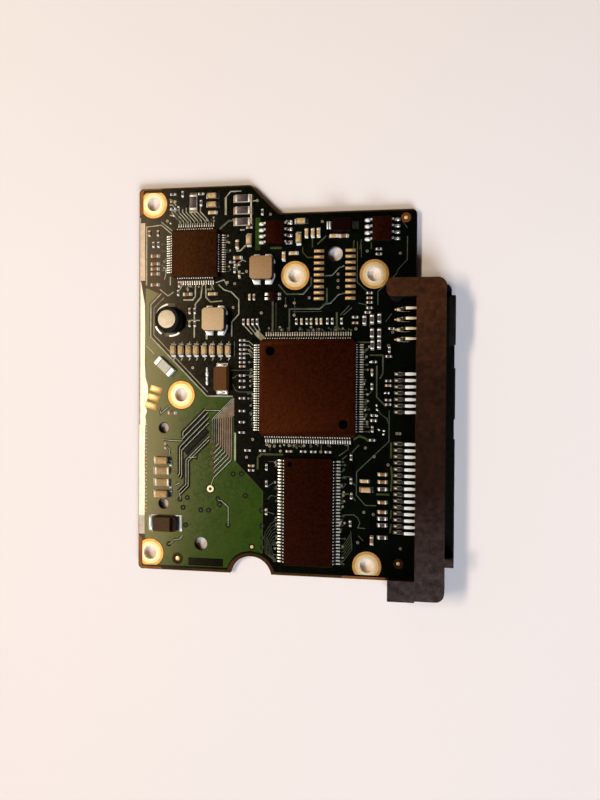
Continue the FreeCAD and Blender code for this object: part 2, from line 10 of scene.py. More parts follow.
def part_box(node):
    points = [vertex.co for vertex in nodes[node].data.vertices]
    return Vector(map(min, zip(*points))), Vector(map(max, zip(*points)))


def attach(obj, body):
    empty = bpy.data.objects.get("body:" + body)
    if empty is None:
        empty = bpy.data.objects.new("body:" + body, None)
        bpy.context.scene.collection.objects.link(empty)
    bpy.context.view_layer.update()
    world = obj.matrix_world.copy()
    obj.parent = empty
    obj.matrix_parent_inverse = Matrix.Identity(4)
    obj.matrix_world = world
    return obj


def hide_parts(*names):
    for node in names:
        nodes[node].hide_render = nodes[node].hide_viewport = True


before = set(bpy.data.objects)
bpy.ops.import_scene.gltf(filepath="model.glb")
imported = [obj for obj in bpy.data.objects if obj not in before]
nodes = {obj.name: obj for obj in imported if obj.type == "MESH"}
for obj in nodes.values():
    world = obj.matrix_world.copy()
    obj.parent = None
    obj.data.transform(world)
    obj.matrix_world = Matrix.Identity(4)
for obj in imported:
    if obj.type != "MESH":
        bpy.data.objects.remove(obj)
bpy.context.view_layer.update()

# All sizes below are in millimetres on the board: X to the right and Y up from its lower left corner,
# Z up from its top face. world_point() turns them into metres in the shared frame.
MM = 0.001
BOARD_LOW, BOARD_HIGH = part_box("circuit_board")
BOARD_WIDTH = (BOARD_HIGH.x - BOARD_LOW.x) / MM
BOARD_LENGTH = (BOARD_HIGH.y - BOARD_LOW.y) / MM
BOARD_THICKNESS = (BOARD_HIGH.z - BOARD_LOW.z) / MM

# Board outline, and the bare rim that the lacquer leaves along its edges
STEP_START_X = 24.3
STEP_DROP = 6.0
STEP_R = 1.5
NOTCH_X = 24.6
NOTCH_Y = -0.85
NOTCH_R = 4.45
BARE_RIM = 0.3
# The lacquer runs almost to the right edge: its dark sheet covers the bare rim there, painted shade where the
# rim lies in shadow.
RIGHT_RIM = 0.06
BOTTOM_RIM = 0.55
NOTCH_RIM = 0.75

# Screw holes with the radii of their land's three tones, and plain holes with their radius
SCREW_R = 1.45
WORN_R = 1.88
PALE_R = 2.4
LAND_R = 2.95
SCREW_HOLES = [(3.2, 77.1), (9.4, 37.0), (2.65, 3.5), (48.75, 2.7), (33.65, 61.58), (49.85, 61.58)]
PLAIN_HOLES = [(41.95, 65.8, 1.48), (13.85, 5.8, 1.4), (5.6, 30.0, 1.12), (5.6, 14.0, 1.12)]
HOLE_WALL = 0.03

# Layers on the board, as heights above its bare top face, and the board's other face
MASK_Z = 0.03
POUR_Z = 0.045
TRACE_Z = 0.062
PAD_Z = 0.066
UNDER_Z = -BOARD_THICKNESS

# Noise values between which a material's colours and numbers wander
NOISE_LOW = 0.3
NOISE_HIGH = 0.7

# Sockets of a Mix node that mixes colours
MIX_SHARE, MIX_FIRST, MIX_SECOND, MIX_RESULT = 0, 6, 7, 2

random.seed(7)


def world_point(x, y, z):
    return (BOARD_LOW.x + x * MM, BOARD_LOW.y + y * MM, BOARD_HIGH.z + z * MM)


# Materials

def new_material(name):
    made = bpy.data.materials.new(name)
    made.use_nodes = True
    tree = made.node_tree
    return made, tree, tree.nodes["Principled BSDF"]


def feed(tree, node, inputs):
    """Sets a node's sockets, or links those that are given another node's output."""
    for socket, value in inputs.items():
        if isinstance(value, bpy.types.NodeSocket):
            tree.links.new(value, node.inputs[socket])
        else:
            node.inputs[socket].default_value = value
    return node


def add_node(tree, kind, inputs):
    return feed(tree, tree.nodes.new("ShaderNode" + kind), inputs)


def object_place(tree):
    return tree.nodes.new("ShaderNodeTexCoord").outputs["Object"]


def split_place(tree, kind="Object"):
    """Texture coordinates, and the same as separate X, Y and Z."""
    place = tree.nodes.new("ShaderNodeTexCoord").outputs[kind]
    return place, add_node(tree, "SeparateXYZ", {"Vector": place}).outputs


def noise(tree, place, grain_mm, detail=3.0):
    inputs = {"Vector": place, "Scale": 1.0 / (grain_mm * MM), "Detail": detail}
    return add_node(tree, "TexNoise", inputs).outputs["Fac"]


def ramp(tree, value, stops):
    node = add_node(tree, "ValToRGB", {"Fac": value})
    elements = node.color_ramp.elements
    for i, (place, colour) in enumerate(stops):
        element = elements[i] if i < 2 else elements.new(place)
        element.position = place
        element.color = (*colour, 1.0)
    return node.outputs["Color"]


def wander(tree, value, colours):
    """Colour that follows a noise value from the first to the second of a pair."""
    return ramp(tree, value, [(NOISE_LOW, colours[0]), (NOISE_HIGH, colours[1])])


def between(tree, value, low, high, result=(0.0, 1.0)):
    """The result's first number up to low, its second one from high on."""
    inputs = {"Value": value, "From Min": low, "From Max": high, "To Min": result[0], "To Max": result[1]}
    return add_node(tree, "MapRange", inputs).outputs["Result"]


def spread(tree, value, result):
    """Number that follows a noise value from the first to the second of a pair."""
    return between(tree, value, NOISE_LOW, NOISE_HIGH, result)


def mixed(tree, share, first, second):
    node = tree.nodes.new("ShaderNodeMix")
    node.data_type = "RGBA"
    return feed(tree, node, {MIX_SHARE: share, MIX_FIRST: first, MIX_SECOND: second}).outputs[MIX_RESULT]


def bump(tree, height, strength, distance_mm):
    inputs = {"Height": height, "Strength": strength, "Distance": distance_mm * MM}
    return add_node(tree, "Bump", inputs).outputs["Normal"]


def surface(name, dark, light, grain_mm, rough, metallic=0.0, specular=0.5, relief_mm=0.0,
            relief_grain_mm=0.2, tint=(1.0, 1.0, 1.0)):
    """Material whose colour and roughness wander between two values, with a fine relief."""
    made, tree, shader = new_material(name)
    place = object_place(tree)
    fine = noise(tree, place, relief_grain_mm, 2.0)
    feed(tree, shader, {
        "Base Color": wander(tree, noise(tree, place, grain_mm), (dark, light)),
        "Roughness": spread(tree, fine, rough),
        "Metallic": metallic,
        "Specular IOR Level": specular,
        "Specular Tint": (*tint, 1.0),
    })
    if relief_mm:
        feed(tree, shader, {"Normal": bump(tree, fine, 0.6, relief_mm)})
    return made


def track(name, dark, light, grain_mm=1.0, specular=0.7):
    """Copper that shows through the lacquer."""
    return surface(name, dark, light, grain_mm, (0.2, 0.3), specular=specular)


def mould(name, dark, light, rough, specular, tint):
    """Grainy matt compound of a chip's body."""
    return surface(name, dark, light, 0.5, rough, 0.0, specular, 0.06, 0.32, tint)


def ceramic(name, dark, light, grain_mm=0.5, rough=(0.4, 0.55), specular=0.3):
    return surface(name, dark, light, grain_mm, rough, 0.0, specular, 0.006, 0.1)


def woven(name, dark, light, rough, specular, weave_mm=0.45):
    """Lacquer over glass cloth: a colour that wanders, and the cloth's weave as a faint relief."""
    made, tree, shader = new_material(name)
    place = object_place(tree)
    weave = tree.nodes.new("ShaderNodeMath")
    weave.operation = "MULTIPLY"
    for i, direction in enumerate("XY"):
        inputs = {"Vector": place, "Scale": 0.314 / (weave_mm * MM), "Distortion": 1.5}
        wave = add_node(tree, "TexWave", inputs)
        wave.bands_direction = direction
        feed(tree, weave, {i: wave.outputs["Fac"]})
    feed(tree, shader, {
        "Base Color": wander(tree, noise(tree, place, 4.0), (dark, light)),
        "Roughness": spread(tree, noise(tree, place, 0.5, 2.0), rough),
        "Specular IOR Level": specular,
        "Normal": bump(tree, weave.outputs["Value"], 0.25, 0.006),
    })
    return made


def shade_painted_sides(name, up, side, grain_mm, rough, metallic=0.0, specular=0.5):
    """Material with one pair of colours on faces that look up and another on slopes and sides; the darker
    pair on slopes and sides is painted shade.
    """
    made, tree, shader = new_material(name)
    speckle = noise(tree, object_place(tree), grain_mm)
    normal = tree.nodes.new("ShaderNodeNewGeometry").outputs["True Normal"]
    upward = add_node(tree, "SeparateXYZ", {"Vector": normal}).outputs["Z"]
    share = ramp(tree, upward, [(0.75, (0, 0, 0)), (0.92, (1, 1, 1))])
    feed(tree, shader, {
        "Base Color": mixed(tree, share, wander(tree, speckle, side), wander(tree, speckle, up)),
        "Roughness": spread(tree, speckle, rough),
        "Metallic": metallic,
        "Specular IOR Level": specular,
        "Normal": bump(tree, speckle, 0.4, 0.006),
    })
    return made


def contact_metal():
    """Tinned strip: near black over the board as painted shade of the bent strips, gold from the housing to
    the mating end.
    """
    made, tree, shader = new_material("contact_metal")
    place, axes = split_place(tree)
    speckle = noise(tree, place, 0.3)
    gold = wander(tree, speckle, [(0.80, 0.60, 0.28), (0.92, 0.74, 0.42)])
    painted_shade_over_board = wander(tree, speckle, [(0.02, 0.018, 0.014), (0.07, 0.062, 0.05)])
    inside = between(tree, axes["X"], world_point(58.5, 0, 0)[0], world_point(59.2, 0, 0)[0])
    feed(tree, shader, {
        "Base Color": mixed(tree, inside, painted_shade_over_board, gold),
        "Roughness": spread(tree, speckle, (0.35, 0.5)),
        "Metallic": 0.6,
    })
    return made


def housing_plastic():
    """Moulded plastic, brown and speckled on top. It is painted near black low down as painted shade, and its
    top is painted greyer towards the lower end as a painted sheen of the window's light.
    """
    made, tree, shader = new_material("connector_plastic")
    place, axes = split_place(tree)
    speckle = noise(tree, place, 1.1)
    # Colours along the connector's length: the grey at its lower end is a painted sheen of the window's
    # light.
    along = between(tree, axes["Y"], world_point(0, -3.0, 0)[1], world_point(0, 60.0, 0)[1])
    dim = ramp(tree, along, [(0.0, (0.019, 0.0125, 0.012)), (0.14, (0.018, 0.010, 0.0088)),
                             (0.35, (0.0085, 0.0024, 0.0009)), (0.7, (0.011, 0.0033, 0.0011)),
                             (0.9, (0.026, 0.008, 0.0025))])
    light_speckle_and_sheen = ramp(tree, along, [(0.0, (0.064, 0.046, 0.045)), (0.14, (0.055, 0.034, 0.031)),
                              (0.35, (0.023, 0.0072, 0.0028)), (0.7, (0.032, 0.0098, 0.0032)),
                              (0.9, (0.066, 0.0205, 0.0068))])
    top = mixed(tree, spread(tree, speckle, (0.0, 1.0)), dim, light_speckle_and_sheen)
    # Below about 4 mm the plastic is painted near black: painted shade of the moulding's lower sides, walls
    # and ledges.
    low = wander(tree, speckle, BLACK_PLASTIC_IN_SHADE)
    height = between(tree, axes["Z"], world_point(0, 0, 3.7)[2], world_point(0, 0, 4.7)[2])
    fine = noise(tree, place, 0.4, 2.0)
    feed(tree, shader, {
        "Base Color": mixed(tree, height, low, top),
        "Roughness": spread(tree, fine, (0.45, 0.65)),
        "Specular IOR Level": 0.07,
        "Normal": bump(tree, fine, 0.6, 0.03),
    })
    return made


LAMINATE = woven("laminate", (0.026, 0.0095, 0.0006), (0.072, 0.027, 0.0016), (0.45, 0.6), 0.08, 0.4)
BARE_LAMINATE = woven("bare_laminate", (0.20, 0.058, 0.006), (0.36, 0.11, 0.016), (0.4, 0.55), 0.2, 0.4)
ORANGE_LAMINATE = woven("orange_laminate", (0.09, 0.022, 0.003), (0.19, 0.05, 0.007), (0.4, 0.55), 0.2, 0.4)
MASK = woven("solder_mask_dark", (0.0005, 0.0009, 0.0004), (0.0014, 0.0024, 0.0009), (0.14, 0.2), 0.36)
POUR = woven("solder_mask_green", (0.017, 0.046, 0.0006), (0.025, 0.058, 0.0014), (0.15, 0.21), 0.8)
CLEARANCE = woven("solder_mask_gap", (0.001, 0.0018, 0.0006), (0.003, 0.005, 0.0012), (0.4, 0.55), 0.12)
TRACE = track("trace_dark", (0.03, 0.036, 0.02), (0.08, 0.088, 0.05), 1.2, 0.6)
TRACE_PALE = track("trace_pale", (0.24, 0.215, 0.14), (0.46, 0.425, 0.30))
TRACE_GREEN = track("trace_green", (0.32, 0.31, 0.18), (0.52, 0.50, 0.34))
TRACE_PINK = track("trace_pink", (0.19, 0.115, 0.07), (0.30, 0.20, 0.13), specular=0.5)
TRACE_OLIVE = track("trace_olive", (0.022, 0.032, 0.004), (0.055, 0.062, 0.01), 1.5, 0.6)
GOLD = surface("gold_plate", (0.56, 0.28, 0.066), (0.76, 0.43, 0.13), 0.9, (0.34, 0.46), 0.65)
PAD_GOLD = surface("pad_gold", (0.34, 0.19, 0.068), (0.54, 0.32, 0.14), 0.5, (0.34, 0.46), 0.6)
WORN_GOLD = surface("worn_plate", (0.90, 0.74, 0.50), (0.97, 0.84, 0.63), 1.2, (0.3, 0.42), 0.4)
PALE_GOLD = surface("pale_gold", (0.86, 0.60, 0.27), (0.95, 0.72, 0.38), 0.8, (0.3, 0.42), 0.5)
TIN = surface("tin_plate", (0.62, 0.59, 0.54), (0.84, 0.82, 0.77), 0.5, (0.3, 0.45), 0.9)
BRIGHT_TIN = surface("bright_tin", (0.82, 0.80, 0.75), (0.95, 0.93, 0.89), 0.4, (0.28, 0.42), 0.35,
                     relief_mm=0.006, relief_grain_mm=0.25)
TAIL_TIN = surface("tail_tin", (0.94, 0.935, 0.92), (0.98, 0.98, 0.97), 0.4, (0.35, 0.5), 0.05)
DARK_TIN = surface("dark_tin", (0.03, 0.025, 0.02), (0.10, 0.085, 0.068), 0.4, (0.35, 0.5), 0.7)
EDGE_TIN = surface("edge_tin", (0.70, 0.60, 0.48), (0.84, 0.75, 0.63), 0.9, (0.35, 0.5), 0.5)
WARM_TIN = surface("warm_tin", (0.44, 0.32, 0.235), (0.56, 0.43, 0.33), 0.9, (0.35, 0.5), 0.5)
RIM_TIN = surface("rim_tin", (0.44, 0.36, 0.28), (0.60, 0.51, 0.42), 0.9, (0.45, 0.6), 0.3)
SOLDER = surface("solder", (0.80, 0.78, 0.74), (0.95, 0.93, 0.90), 0.35, (0.16, 0.3), 0.75,
                 relief_mm=0.006, relief_grain_mm=0.25)
CREAM_TIN = surface("cream_tin", (0.62, 0.50, 0.34), (0.86, 0.76, 0.60), 0.4, (0.3, 0.45), 0.3)
DULL_TIN = surface("dull_tin", (0.20, 0.165, 0.12), (0.40, 0.34, 0.26), 0.5, (0.35, 0.5), 0.8)
COPPER_PAD = surface("copper_pad", (0.06, 0.014, 0.007), (0.15, 0.05, 0.026), 0.4, (0.3, 0.45), 0.3)
RED_BROWN = surface("red_brown", (0.02, 0.004, 0.0015), (0.05, 0.011, 0.003), 0.5, (0.3, 0.45), specular=0.2)
MOULD = mould("mould_compound", (0.002, 0.0002, 0.0001), (0.022, 0.0029, 0.0009), (0.38, 0.56), 0.21,
              (1.0, 0.25, 0.06))
MOULD_BROWN = mould("mould_compound_brown", (0.003, 0.0006, 0.0002), (0.031, 0.0078, 0.002), (0.45, 0.65),
                    0.26, (1.0, 0.4, 0.11))
MOULD_DARK = mould("mould_compound_dark", (0.0015, 0.0001, 0.0001), (0.017, 0.0021, 0.0006), (0.45, 0.65),
                   0.1, (1.0, 0.3, 0.1))
MOULD_BLACK = surface("mould_compound_black", (0.003, 0.0005, 0.0005), (0.006, 0.0012, 0.0011), 0.5,
                      (0.48, 0.62), 0.0, 0.05, 0.008, 0.09, (1.0, 0.4, 0.3))
MOULD_GREY = surface("mould_compound_grey", (0.052, 0.025, 0.008), (0.075, 0.037, 0.013), 0.5, (0.5, 0.66),
                     0.0, 0.12, 0.008, 0.09)
# Near black, with no specular: painted shade in the chips' sunk marks.
SUNK_MARK_SHADE = surface("sunk_mark_painted_shade", (0.0004, 0.0006, 0.0005), (0.0014, 0.0018, 0.0015), 0.5, (0.5, 0.6),
                        specular=0.0)
# Near-black plastic, darker than the housing's top: painted shade for the parts that lie in the bar's shadow.
BLACK_PLASTIC_IN_SHADE = [(0.0025, 0.0018, 0.0015), (0.007, 0.005, 0.0045)]
HOUSING = housing_plastic()
HOUSING_SHADE_BLACK = surface("connector_black_painted_shade", *BLACK_PLASTIC_IN_SHADE, 1.1, (0.45, 0.65), 0.0, 0.07, 0.03, 0.4)
FERRITE_DARK = surface("dark_ferrite", (0.003, 0.0025, 0.002), (0.008, 0.006, 0.005), 0.3, (0.45, 0.6),
                       0.0, 0.1, 0.01, 0.1)
DRUM_TOP = surface("drum_top", (0.66, 0.49, 0.29), (0.82, 0.64, 0.42), 0.4, (0.4, 0.55), relief_mm=0.008)
WINDING = surface("winding", (0.04, 0.014, 0.006), (0.09, 0.035, 0.012), 0.2, (0.3, 0.45))
TANTALUM = ceramic("tantalum_case", (0.085, 0.029, 0.0055), (0.125, 0.043, 0.009), specular=0.12)
CAPACITOR = ceramic("capacitor_ceramic", (0.43, 0.25, 0.09), (0.64, 0.42, 0.19))
ORANGE_CAPACITOR = ceramic("orange_ceramic", (0.36, 0.185, 0.055), (0.56, 0.32, 0.12))
TAN_CAPACITOR = ceramic("tan_ceramic", (0.28, 0.155, 0.06), (0.45, 0.27, 0.115))
BROWN_CAPACITOR = ceramic("brown_ceramic", (0.17, 0.07, 0.025), (0.30, 0.14, 0.05), 0.4)
GLAZE = ceramic("resistor_glaze", (0.03, 0.019, 0.02), (0.085, 0.056, 0.058), 0.4, (0.3, 0.45), 0.4)
WHITE_CERAMIC = surface("white_ceramic", (0.50, 0.43, 0.33), (0.68, 0.61, 0.50), 0.3, (0.45, 0.6), 0.0, 0.4,
                        0.005, 0.1)
# Dark ferrite sides and dark lead slopes: painted shade.
FERRITE_SHADE = [(0.006, 0.005, 0.004), (0.02, 0.014, 0.011)]
# The pale tan tops are partly a painted reflection of warm light on dark ferrite; the second inductor's
# brighter top is painted glare.
FERRITE_GLARE = shade_painted_sides("ferrite", [(0.50, 0.31, 0.15), (0.62, 0.41, 0.22)], FERRITE_SHADE, 0.25, (0.4, 0.55),
                    specular=0.3)
FERRITE_TAN = shade_painted_sides("ferrite_tan", [(0.29, 0.155, 0.06), (0.38, 0.215, 0.095)], FERRITE_SHADE, 0.25,
                        (0.4, 0.55), specular=0.2)
LEAD = shade_painted_sides("lead_metal", [(0.62, 0.58, 0.51), (0.80, 0.76, 0.69)],
                 [(0.018, 0.015, 0.012), (0.06, 0.052, 0.043)], 0.3, (0.35, 0.5), 0.7)
CONTACT = contact_metal()


# Meshes put together from closed loops

SMOOTH_DEGREES = 35
WELD_DISTANCE = 1e-7


class Piece:
    """Mesh made of closed parts, each lofted through loops of (x, y, z) points on the board."""

    def __init__(self, name):
        self.name = name
        self.points = []
        self.faces = []
        self.face_slots = []
        self.materials = []

    def add_face(self, corners, material):
        if material not in self.materials:
            self.materials.append(material)
        self.faces.append(tuple(corners))
        self.face_slots.append(self.materials.index(material))

    def add_points(self, points):
        first = len(self.points)
        self.points.extend(points)
        return list(range(first, len(self.points)))

    def add_walls(self, low, high, material):
        for i in range(len(low)):
            j = (i + 1) % len(low)
            self.add_face((low[i], low[j], high[j], high[i]), material)

    def loft(self, loops, material, open_top=False):
        """Closed part: walls between the loops, and a face on the first and the last one."""
        rows = [self.add_points(loop) for loop in loops]
        for low, high in zip(rows, rows[1:]):
            self.add_walls(low, high, material)
        self.add_face(reversed(rows[0]), material)
        if not open_top:
            self.add_face(rows[-1], material)
        return rows[-1]

    def ring(self, loops, material):
        """Closed ring: walls between the loops and from the last one back to the first."""
        rows = [self.add_points(loop) for loop in loops]
        for low, high in zip(rows, rows[1:] + rows[:1]):
            self.add_walls(low, high, material)

    def plate(self, outline, holes, z0, z1, material):
        """Flat sheet with holes."""
        loops = [outline] + holes
        low = [self.add_points([(x, y, z0) for x, y in loop]) for loop in loops]
        high = [self.add_points([(x, y, z1) for x, y in loop]) for loop in loops]
        under = sum(low, [])
        over = sum(high, [])
        for triangle in tessellate_polygon([[Vector((x, y, 0)) for x, y in loop] for loop in loops]):
            self.add_face([under[i] for i in triangle], material)
            self.add_face([over[i] for i in reversed(triangle)], material)
        for low_loop, high_loop in zip(low, high):
            self.add_walls(low_loop, high_loop, material)

    def done(self, slot, *replaces):
        """Makes the object, on the part's one body, in place of the nodes named. The slot argument is not
        used.
        """
        mesh = bpy.data.meshes.new(self.name)
        mesh.from_pydata([world_point(*p) for p in self.points], [], self.faces)
        for material in self.materials:
            mesh.materials.append(material)
        mesh.polygons.foreach_set("material_index", self.face_slots)
        work = bmesh.new()
        work.from_mesh(mesh)
        bmesh.ops.recalc_face_normals(work, faces=work.faces)
        work.to_mesh(mesh)
        work.free()
        mesh.polygons.foreach_set("use_smooth", [True] * len(mesh.polygons))
        mesh.set_sharp_from_angle(angle=math.radians(SMOOTH_DEGREES))
        made = bpy.data.objects.new(self.name, mesh)
        bpy.context.scene.collection.objects.link(made)
        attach(made, "root")
        if replaces:
            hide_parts(*replaces)


def turned(x, y, degrees=0):
    """Places points given about the origin at x, y on the board, turned by an angle."""
    c = math.cos(math.radians(degrees))
    s = math.sin(math.radians(degrees))
    return lambda u, v: (x + u * c - v * s, y + u * s + v * c)


def at_height(outline, put, z):
    return [(*put(u, v), z) for u, v in outline]


def arc(x, y, radius, first, last, steps):
    """Points along part of a circle, from one angle in degrees to another."""
    angles = [math.radians(first + (last - first) * i / steps) for i in range(steps + 1)]
    return [(x + radius * math.cos(a), y + radius * math.sin(a)) for a in angles]


def circle(radius, count=32, x=0.0, y=0.0):
    return arc(x, y, radius, 0, 360, count)[:-1]


def span(x0, y0, x1, y1):
    return [(x0, y0), (x1, y0), (x1, y1), (x0, y1)]


def rounded(corners, radii, steps=4):
    """Outline with its corners rounded."""
    out = []
    count = len(corners)
    for i, (corner, radius) in enumerate(zip(corners, radii)):
        here = Vector(corner)
        if radius <= 0:
            out.append(tuple(here))
            continue
        to_last = (Vector(corners[i - 1]) - here).normalized()
        to_next = (Vector(corners[(i + 1) % count]) - here).normalized()
        half = math.acos(max(-1.0, min(1.0, to_last.dot(to_next)))) / 2
        reach = radius / math.tan(half)
        centre = here + (to_last + to_next).normalized() * (radius / math.sin(half))
        start = here + to_last * reach - centre
        end = here + to_next * reach - centre
        first = math.atan2(start.y, start.x)
        turn = (math.atan2(end.y, end.x) - first + math.pi) % (2 * math.pi) - math.pi
        out += arc(centre.x, centre.y, radius, math.degrees(first), math.degrees(first + turn), steps)
    return out


def rectangle(length, width, radius=0.0):
    corners = span(-length / 2, -width / 2, length / 2, width / 2)
    return rounded(corners, [radius] * 4, 3) if radius else corners


def cut_rectangle(x0, y0, x1, y1, cut, radius=0.2):
    """Rectangle with its corners cut off and what is left of them rounded."""
    corners = [(x0 + cut, y0), (x1 - cut, y0), (x1, y0 + cut), (x1, y1 - cut), (x1 - cut, y1),
               (x0 + cut, y1), (x0, y1 - cut), (x0, y0 + cut)]
    return rounded(corners, [radius] * 8, 3)


def shrunk(outline, by):
    """Outline moved inwards all round, for outlines that run anticlockwise."""
    out = []
    count = len(outline)
    for i in range(count):
        here = Vector(outline[i])
        ahead = (Vector(outline[(i + 1) % count]) - here).normalized()
        behind = (here - Vector(outline[i - 1])).normalized()
        middle = Vector((-behind.y - ahead.y, behind.x + ahead.x))
        out.append(tuple(here + middle * (by * 2 / max(middle.length_squared, 1e-6))))
    return out


def stacked(piece, put, outline, levels, material, open_top=False):
    """Part lofted through an outline, which is shrunk by d at height z for each level (d, z)."""
    return piece.loft([at_height(shrunk(outline, d), put, z) for d, z in levels], material, open_top)


def lathe(piece, put, levels, sides, material):
    """Round part lofted through levels (radius, z)."""
    piece.loft([at_height(circle(radius, sides), put, z) for radius, z in levels], material)


def block(piece, put, outline, z0, z1, edge, material):
    """Upright part with a rounded top edge."""
    levels = [(0, z0), (0, z1 - edge), (0.3 * edge, z1 - 0.3 * edge), (edge, z1)]
    stacked(piece, put, outline, levels, material)


def dome(piece, put, length, width, z0, height, material, count=14, squareness=2.6):
    """Blob of solder with a flat foot."""
    outline = []
    for c, s in circle(1.0, count):
        u = math.copysign(abs(c) ** (2 / squareness), c)
        v = math.copysign(abs(s) ** (2 / squareness), s)
        outline.append((u * length / 2, v * width / 2))
    loops = []
    for scale, share in [(1.0, 0.0), (0.93, 0.35), (0.75, 0.7), (0.48, 0.92), (0.18, 1.0)]:
        loops.append(at_height([(u * scale, v * scale) for u, v in outline], put, z0 + height * share))
    piece.loft(loops, material)


def fillet(piece, put, u0, u1, width, z0, height, material):
    """Solder that climbs an end face: a hollow slope from u0 at full height down to u1."""
    loops = []
    for share, level, narrow in [(0.0, 1.0, 1.0), (0.3, 0.5, 1.0), (0.65, 0.18, 0.97), (1.0, 0.03, 0.88)]:
        right = put(u0 + (u1 - u0) * share, -width / 2 * narrow)
        left = put(u0 + (u1 - u0) * share, width / 2 * narrow)
        top = z0 + height * level
        loops.append([(*right, z0), (*left, z0), (*left, top), (*right, top)])
    piece.loft(loops, material)


def trace(piece, points, width, material, z0=MASK_Z, z1=TRACE_Z):
    """Copper track under the lacquer: a low strip with sloped sides along a bent line."""
    loops = []
    slope = min(0.3 * width, 0.04)
    for i, here in enumerate(points):
        here = Vector(here)
        ahead = (Vector(points[i + 1]) - here).normalized() if i + 1 < len(points) else None
        behind = (here - Vector(points[i - 1])).normalized() if i else None
        along = ((ahead or behind) + (behind or ahead)).normalized()
        across = Vector((-along.y, along.x)) / max(0.5, along.dot(ahead or behind))
        foot = across * (width / 2)
        top = across * (width / 2 - slope)
        loops.append([(*(here - foot), z0), (*(here + foot), z0), (*(here + top), z1), (*(here - top), z1)])
    piece.loft(loops, material)


def annulus(piece, x, y, inner, outer, z0, z1, material, count=48, bounds=None):
    """Flat ring, cut off where it would leave the bounds (x0, y0, x1, y1)."""
    edge = 0.4 * min(z1 - z0, outer - inner)
    loops = []
    for radius, z in [(outer, z0), (outer, z1 - edge), (outer - edge, z1), (inner, z1), (inner, z0)]:
        points = circle(radius, count, x, y)
        if bounds:
            x0, y0, x1, y1 = bounds
            points = [(min(max(px, x0), x1), min(max(py, y0), y1)) for px, py in points]
        loops.append([(px, py, z) for px, py in points])
    piece.ring(loops, material)


def via(piece, x, y, material, z=MASK_Z, outer=0.3, inner=0.12):
    annulus(piece, x, y, inner, outer, z, z + 0.04, material, 12)


def on_board(low, high):
    """Box on the board from two corners in the shared frame: x0, y0, z0, x1, y1, z1."""
    zero = (BOARD_LOW.x, BOARD_LOW.y, BOARD_HIGH.z)
    return tuple((corner[i] - zero[i]) / MM for corner in (low, high) for i in range(3))


def local_box(node):
    return on_board(*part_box(node))


def centre(box):
    """Middle of a box on the board, in plan."""
    return (box[0] + box[3]) / 2, (box[1] + box[4]) / 2


def parts_of(node):
    """Boxes of a node's separate solids, on the board."""
    work = bmesh.new()
    work.from_mesh(nodes[node].data)
    bmesh.ops.remove_doubles(work, verts=work.verts, dist=WELD_DISTANCE)
    seen = set()
    boxes = []
    for start in work.verts:
        if start in seen:
            continue
        seen.add(start)
        stack = [start]
        found = []
        while stack:
            vertex = stack.pop()
            found.append(vertex.co)
            for edge in vertex.link_edges:
                other = edge.other_vert(vertex)
                if other not in seen:
                    seen.add(other)
                    stack.append(other)
        axes = list(zip(*found))
        boxes.append(on_board([min(values) for values in axes], [max(values) for values in axes]))
    work.free()
    return sorted(boxes)


def toes_of(node):
    """Outer ends of a chip's leads, each with the direction it points in, away from the chip."""
    middle_x, middle_y = centre(local_box(node))
    toes = []
    for b in parts_of(node):
        x, y = centre(b)
        if b[3] - b[0] > b[4] - b[1]:
            right = x > middle_x
            toes.append((Vector((b[3] if right else b[0], y)), Vector((1 if right else -1, 0))))
        else:
            up = y > middle_y
            toes.append((Vector((x, b[4] if up else b[1])), Vector((0, 1 if up else -1))))
    return toes


def outward(tip, out):
    """Places points about a lead's toe, with u away from the chip."""
    return turned(tip.x, tip.y, math.degrees(math.atan2(out.y, out.x)))


# Board surface

TARGETS = [(56.1, 72.7), (55.1, 3.45), (8.75, 2.5)]
TARGET_DOT_R = (0.36, 0.36, 0.45)
TARGET_GAP_R = 1.0
LAND_GAP = 0.12
LAND_INSET = 0.9


def mask_outline():
    """Outline of the lacquer, anticlockwise from the lower left. The bare rim is wider at the corners."""
    right = BOARD_WIDTH - RIGHT_RIM
    top = BOARD_LENGTH - BARE_RIM
    step_y = top - STEP_DROP
    slide = BARE_RIM * math.tan(math.radians(22.5))
    radius = NOTCH_R + NOTCH_RIM
    end = math.degrees(math.asin((BOTTOM_RIM - NOTCH_Y) / radius))
    notch = arc(NOTCH_X, NOTCH_Y, radius, 180 - end, end, 28)
    corners = [(0.75, BOTTOM_RIM)] + notch
    corners += [(right, BOTTOM_RIM), (right, step_y), (STEP_START_X + STEP_DROP - slide, step_y),
                (STEP_START_X - slide, top), (0.9, top), (0.9, 75.6), (BARE_RIM, 74.8), (BARE_RIM, 7.0),
                (0.75, 6.4)]
    radii = [0.4] + [0] * len(notch)
    radii += [0.7, 0.7, STEP_R + BARE_RIM, STEP_R - BARE_RIM, 0.4, 0.3, 0.3, 0.2, 0.2]
    return rounded(corners, radii, 6)


def mask_sheet(name, z0, z1):
    sheet = Piece(name)
    holes = [circle(SCREW_R + 0.02, 40, x, y) for x, y in SCREW_HOLES]
    holes += [circle(radius + 0.06, 36, x, y) for x, y, radius in PLAIN_HOLES]
    holes += [circle(TARGET_GAP_R, 24, x, y) for x, y in TARGETS]
    sheet.plate(mask_outline(), holes, z0, z1, MASK)
    sheet.done("solder_mask")


# Bare laminate round the two left corner lands and below the lower right one
CORNER_PATCHES = [
    [(0.1, 1.15), (0.4, 0.45), (1.15, 0.1), (5.4, 0.1), (5.0, 0.5), (0.78, 0.55), (0.78, 6.4), (0.35, 7.0),
     (0.1, 7.0)],
    [(0.1, 74.8), (0.35, 74.8), (0.88, 75.6), (0.88, 79.9), (4.6, 80.0), (5.2, 80.28), (1.15, 80.28),
     (0.4, 79.95), (0.1, 79.2)],
    [(43.5, 0.1), (52.6, 0.1), (52.4, 0.53), (43.9, 0.53)],
]


def bare_corners():
    piece = Piece("bare_corners")
    for outline in CORNER_PATCHES:
        piece.plate(outline, [], 0.0, 0.014, BARE_LAMINATE)
    piece.done("solder_mask")


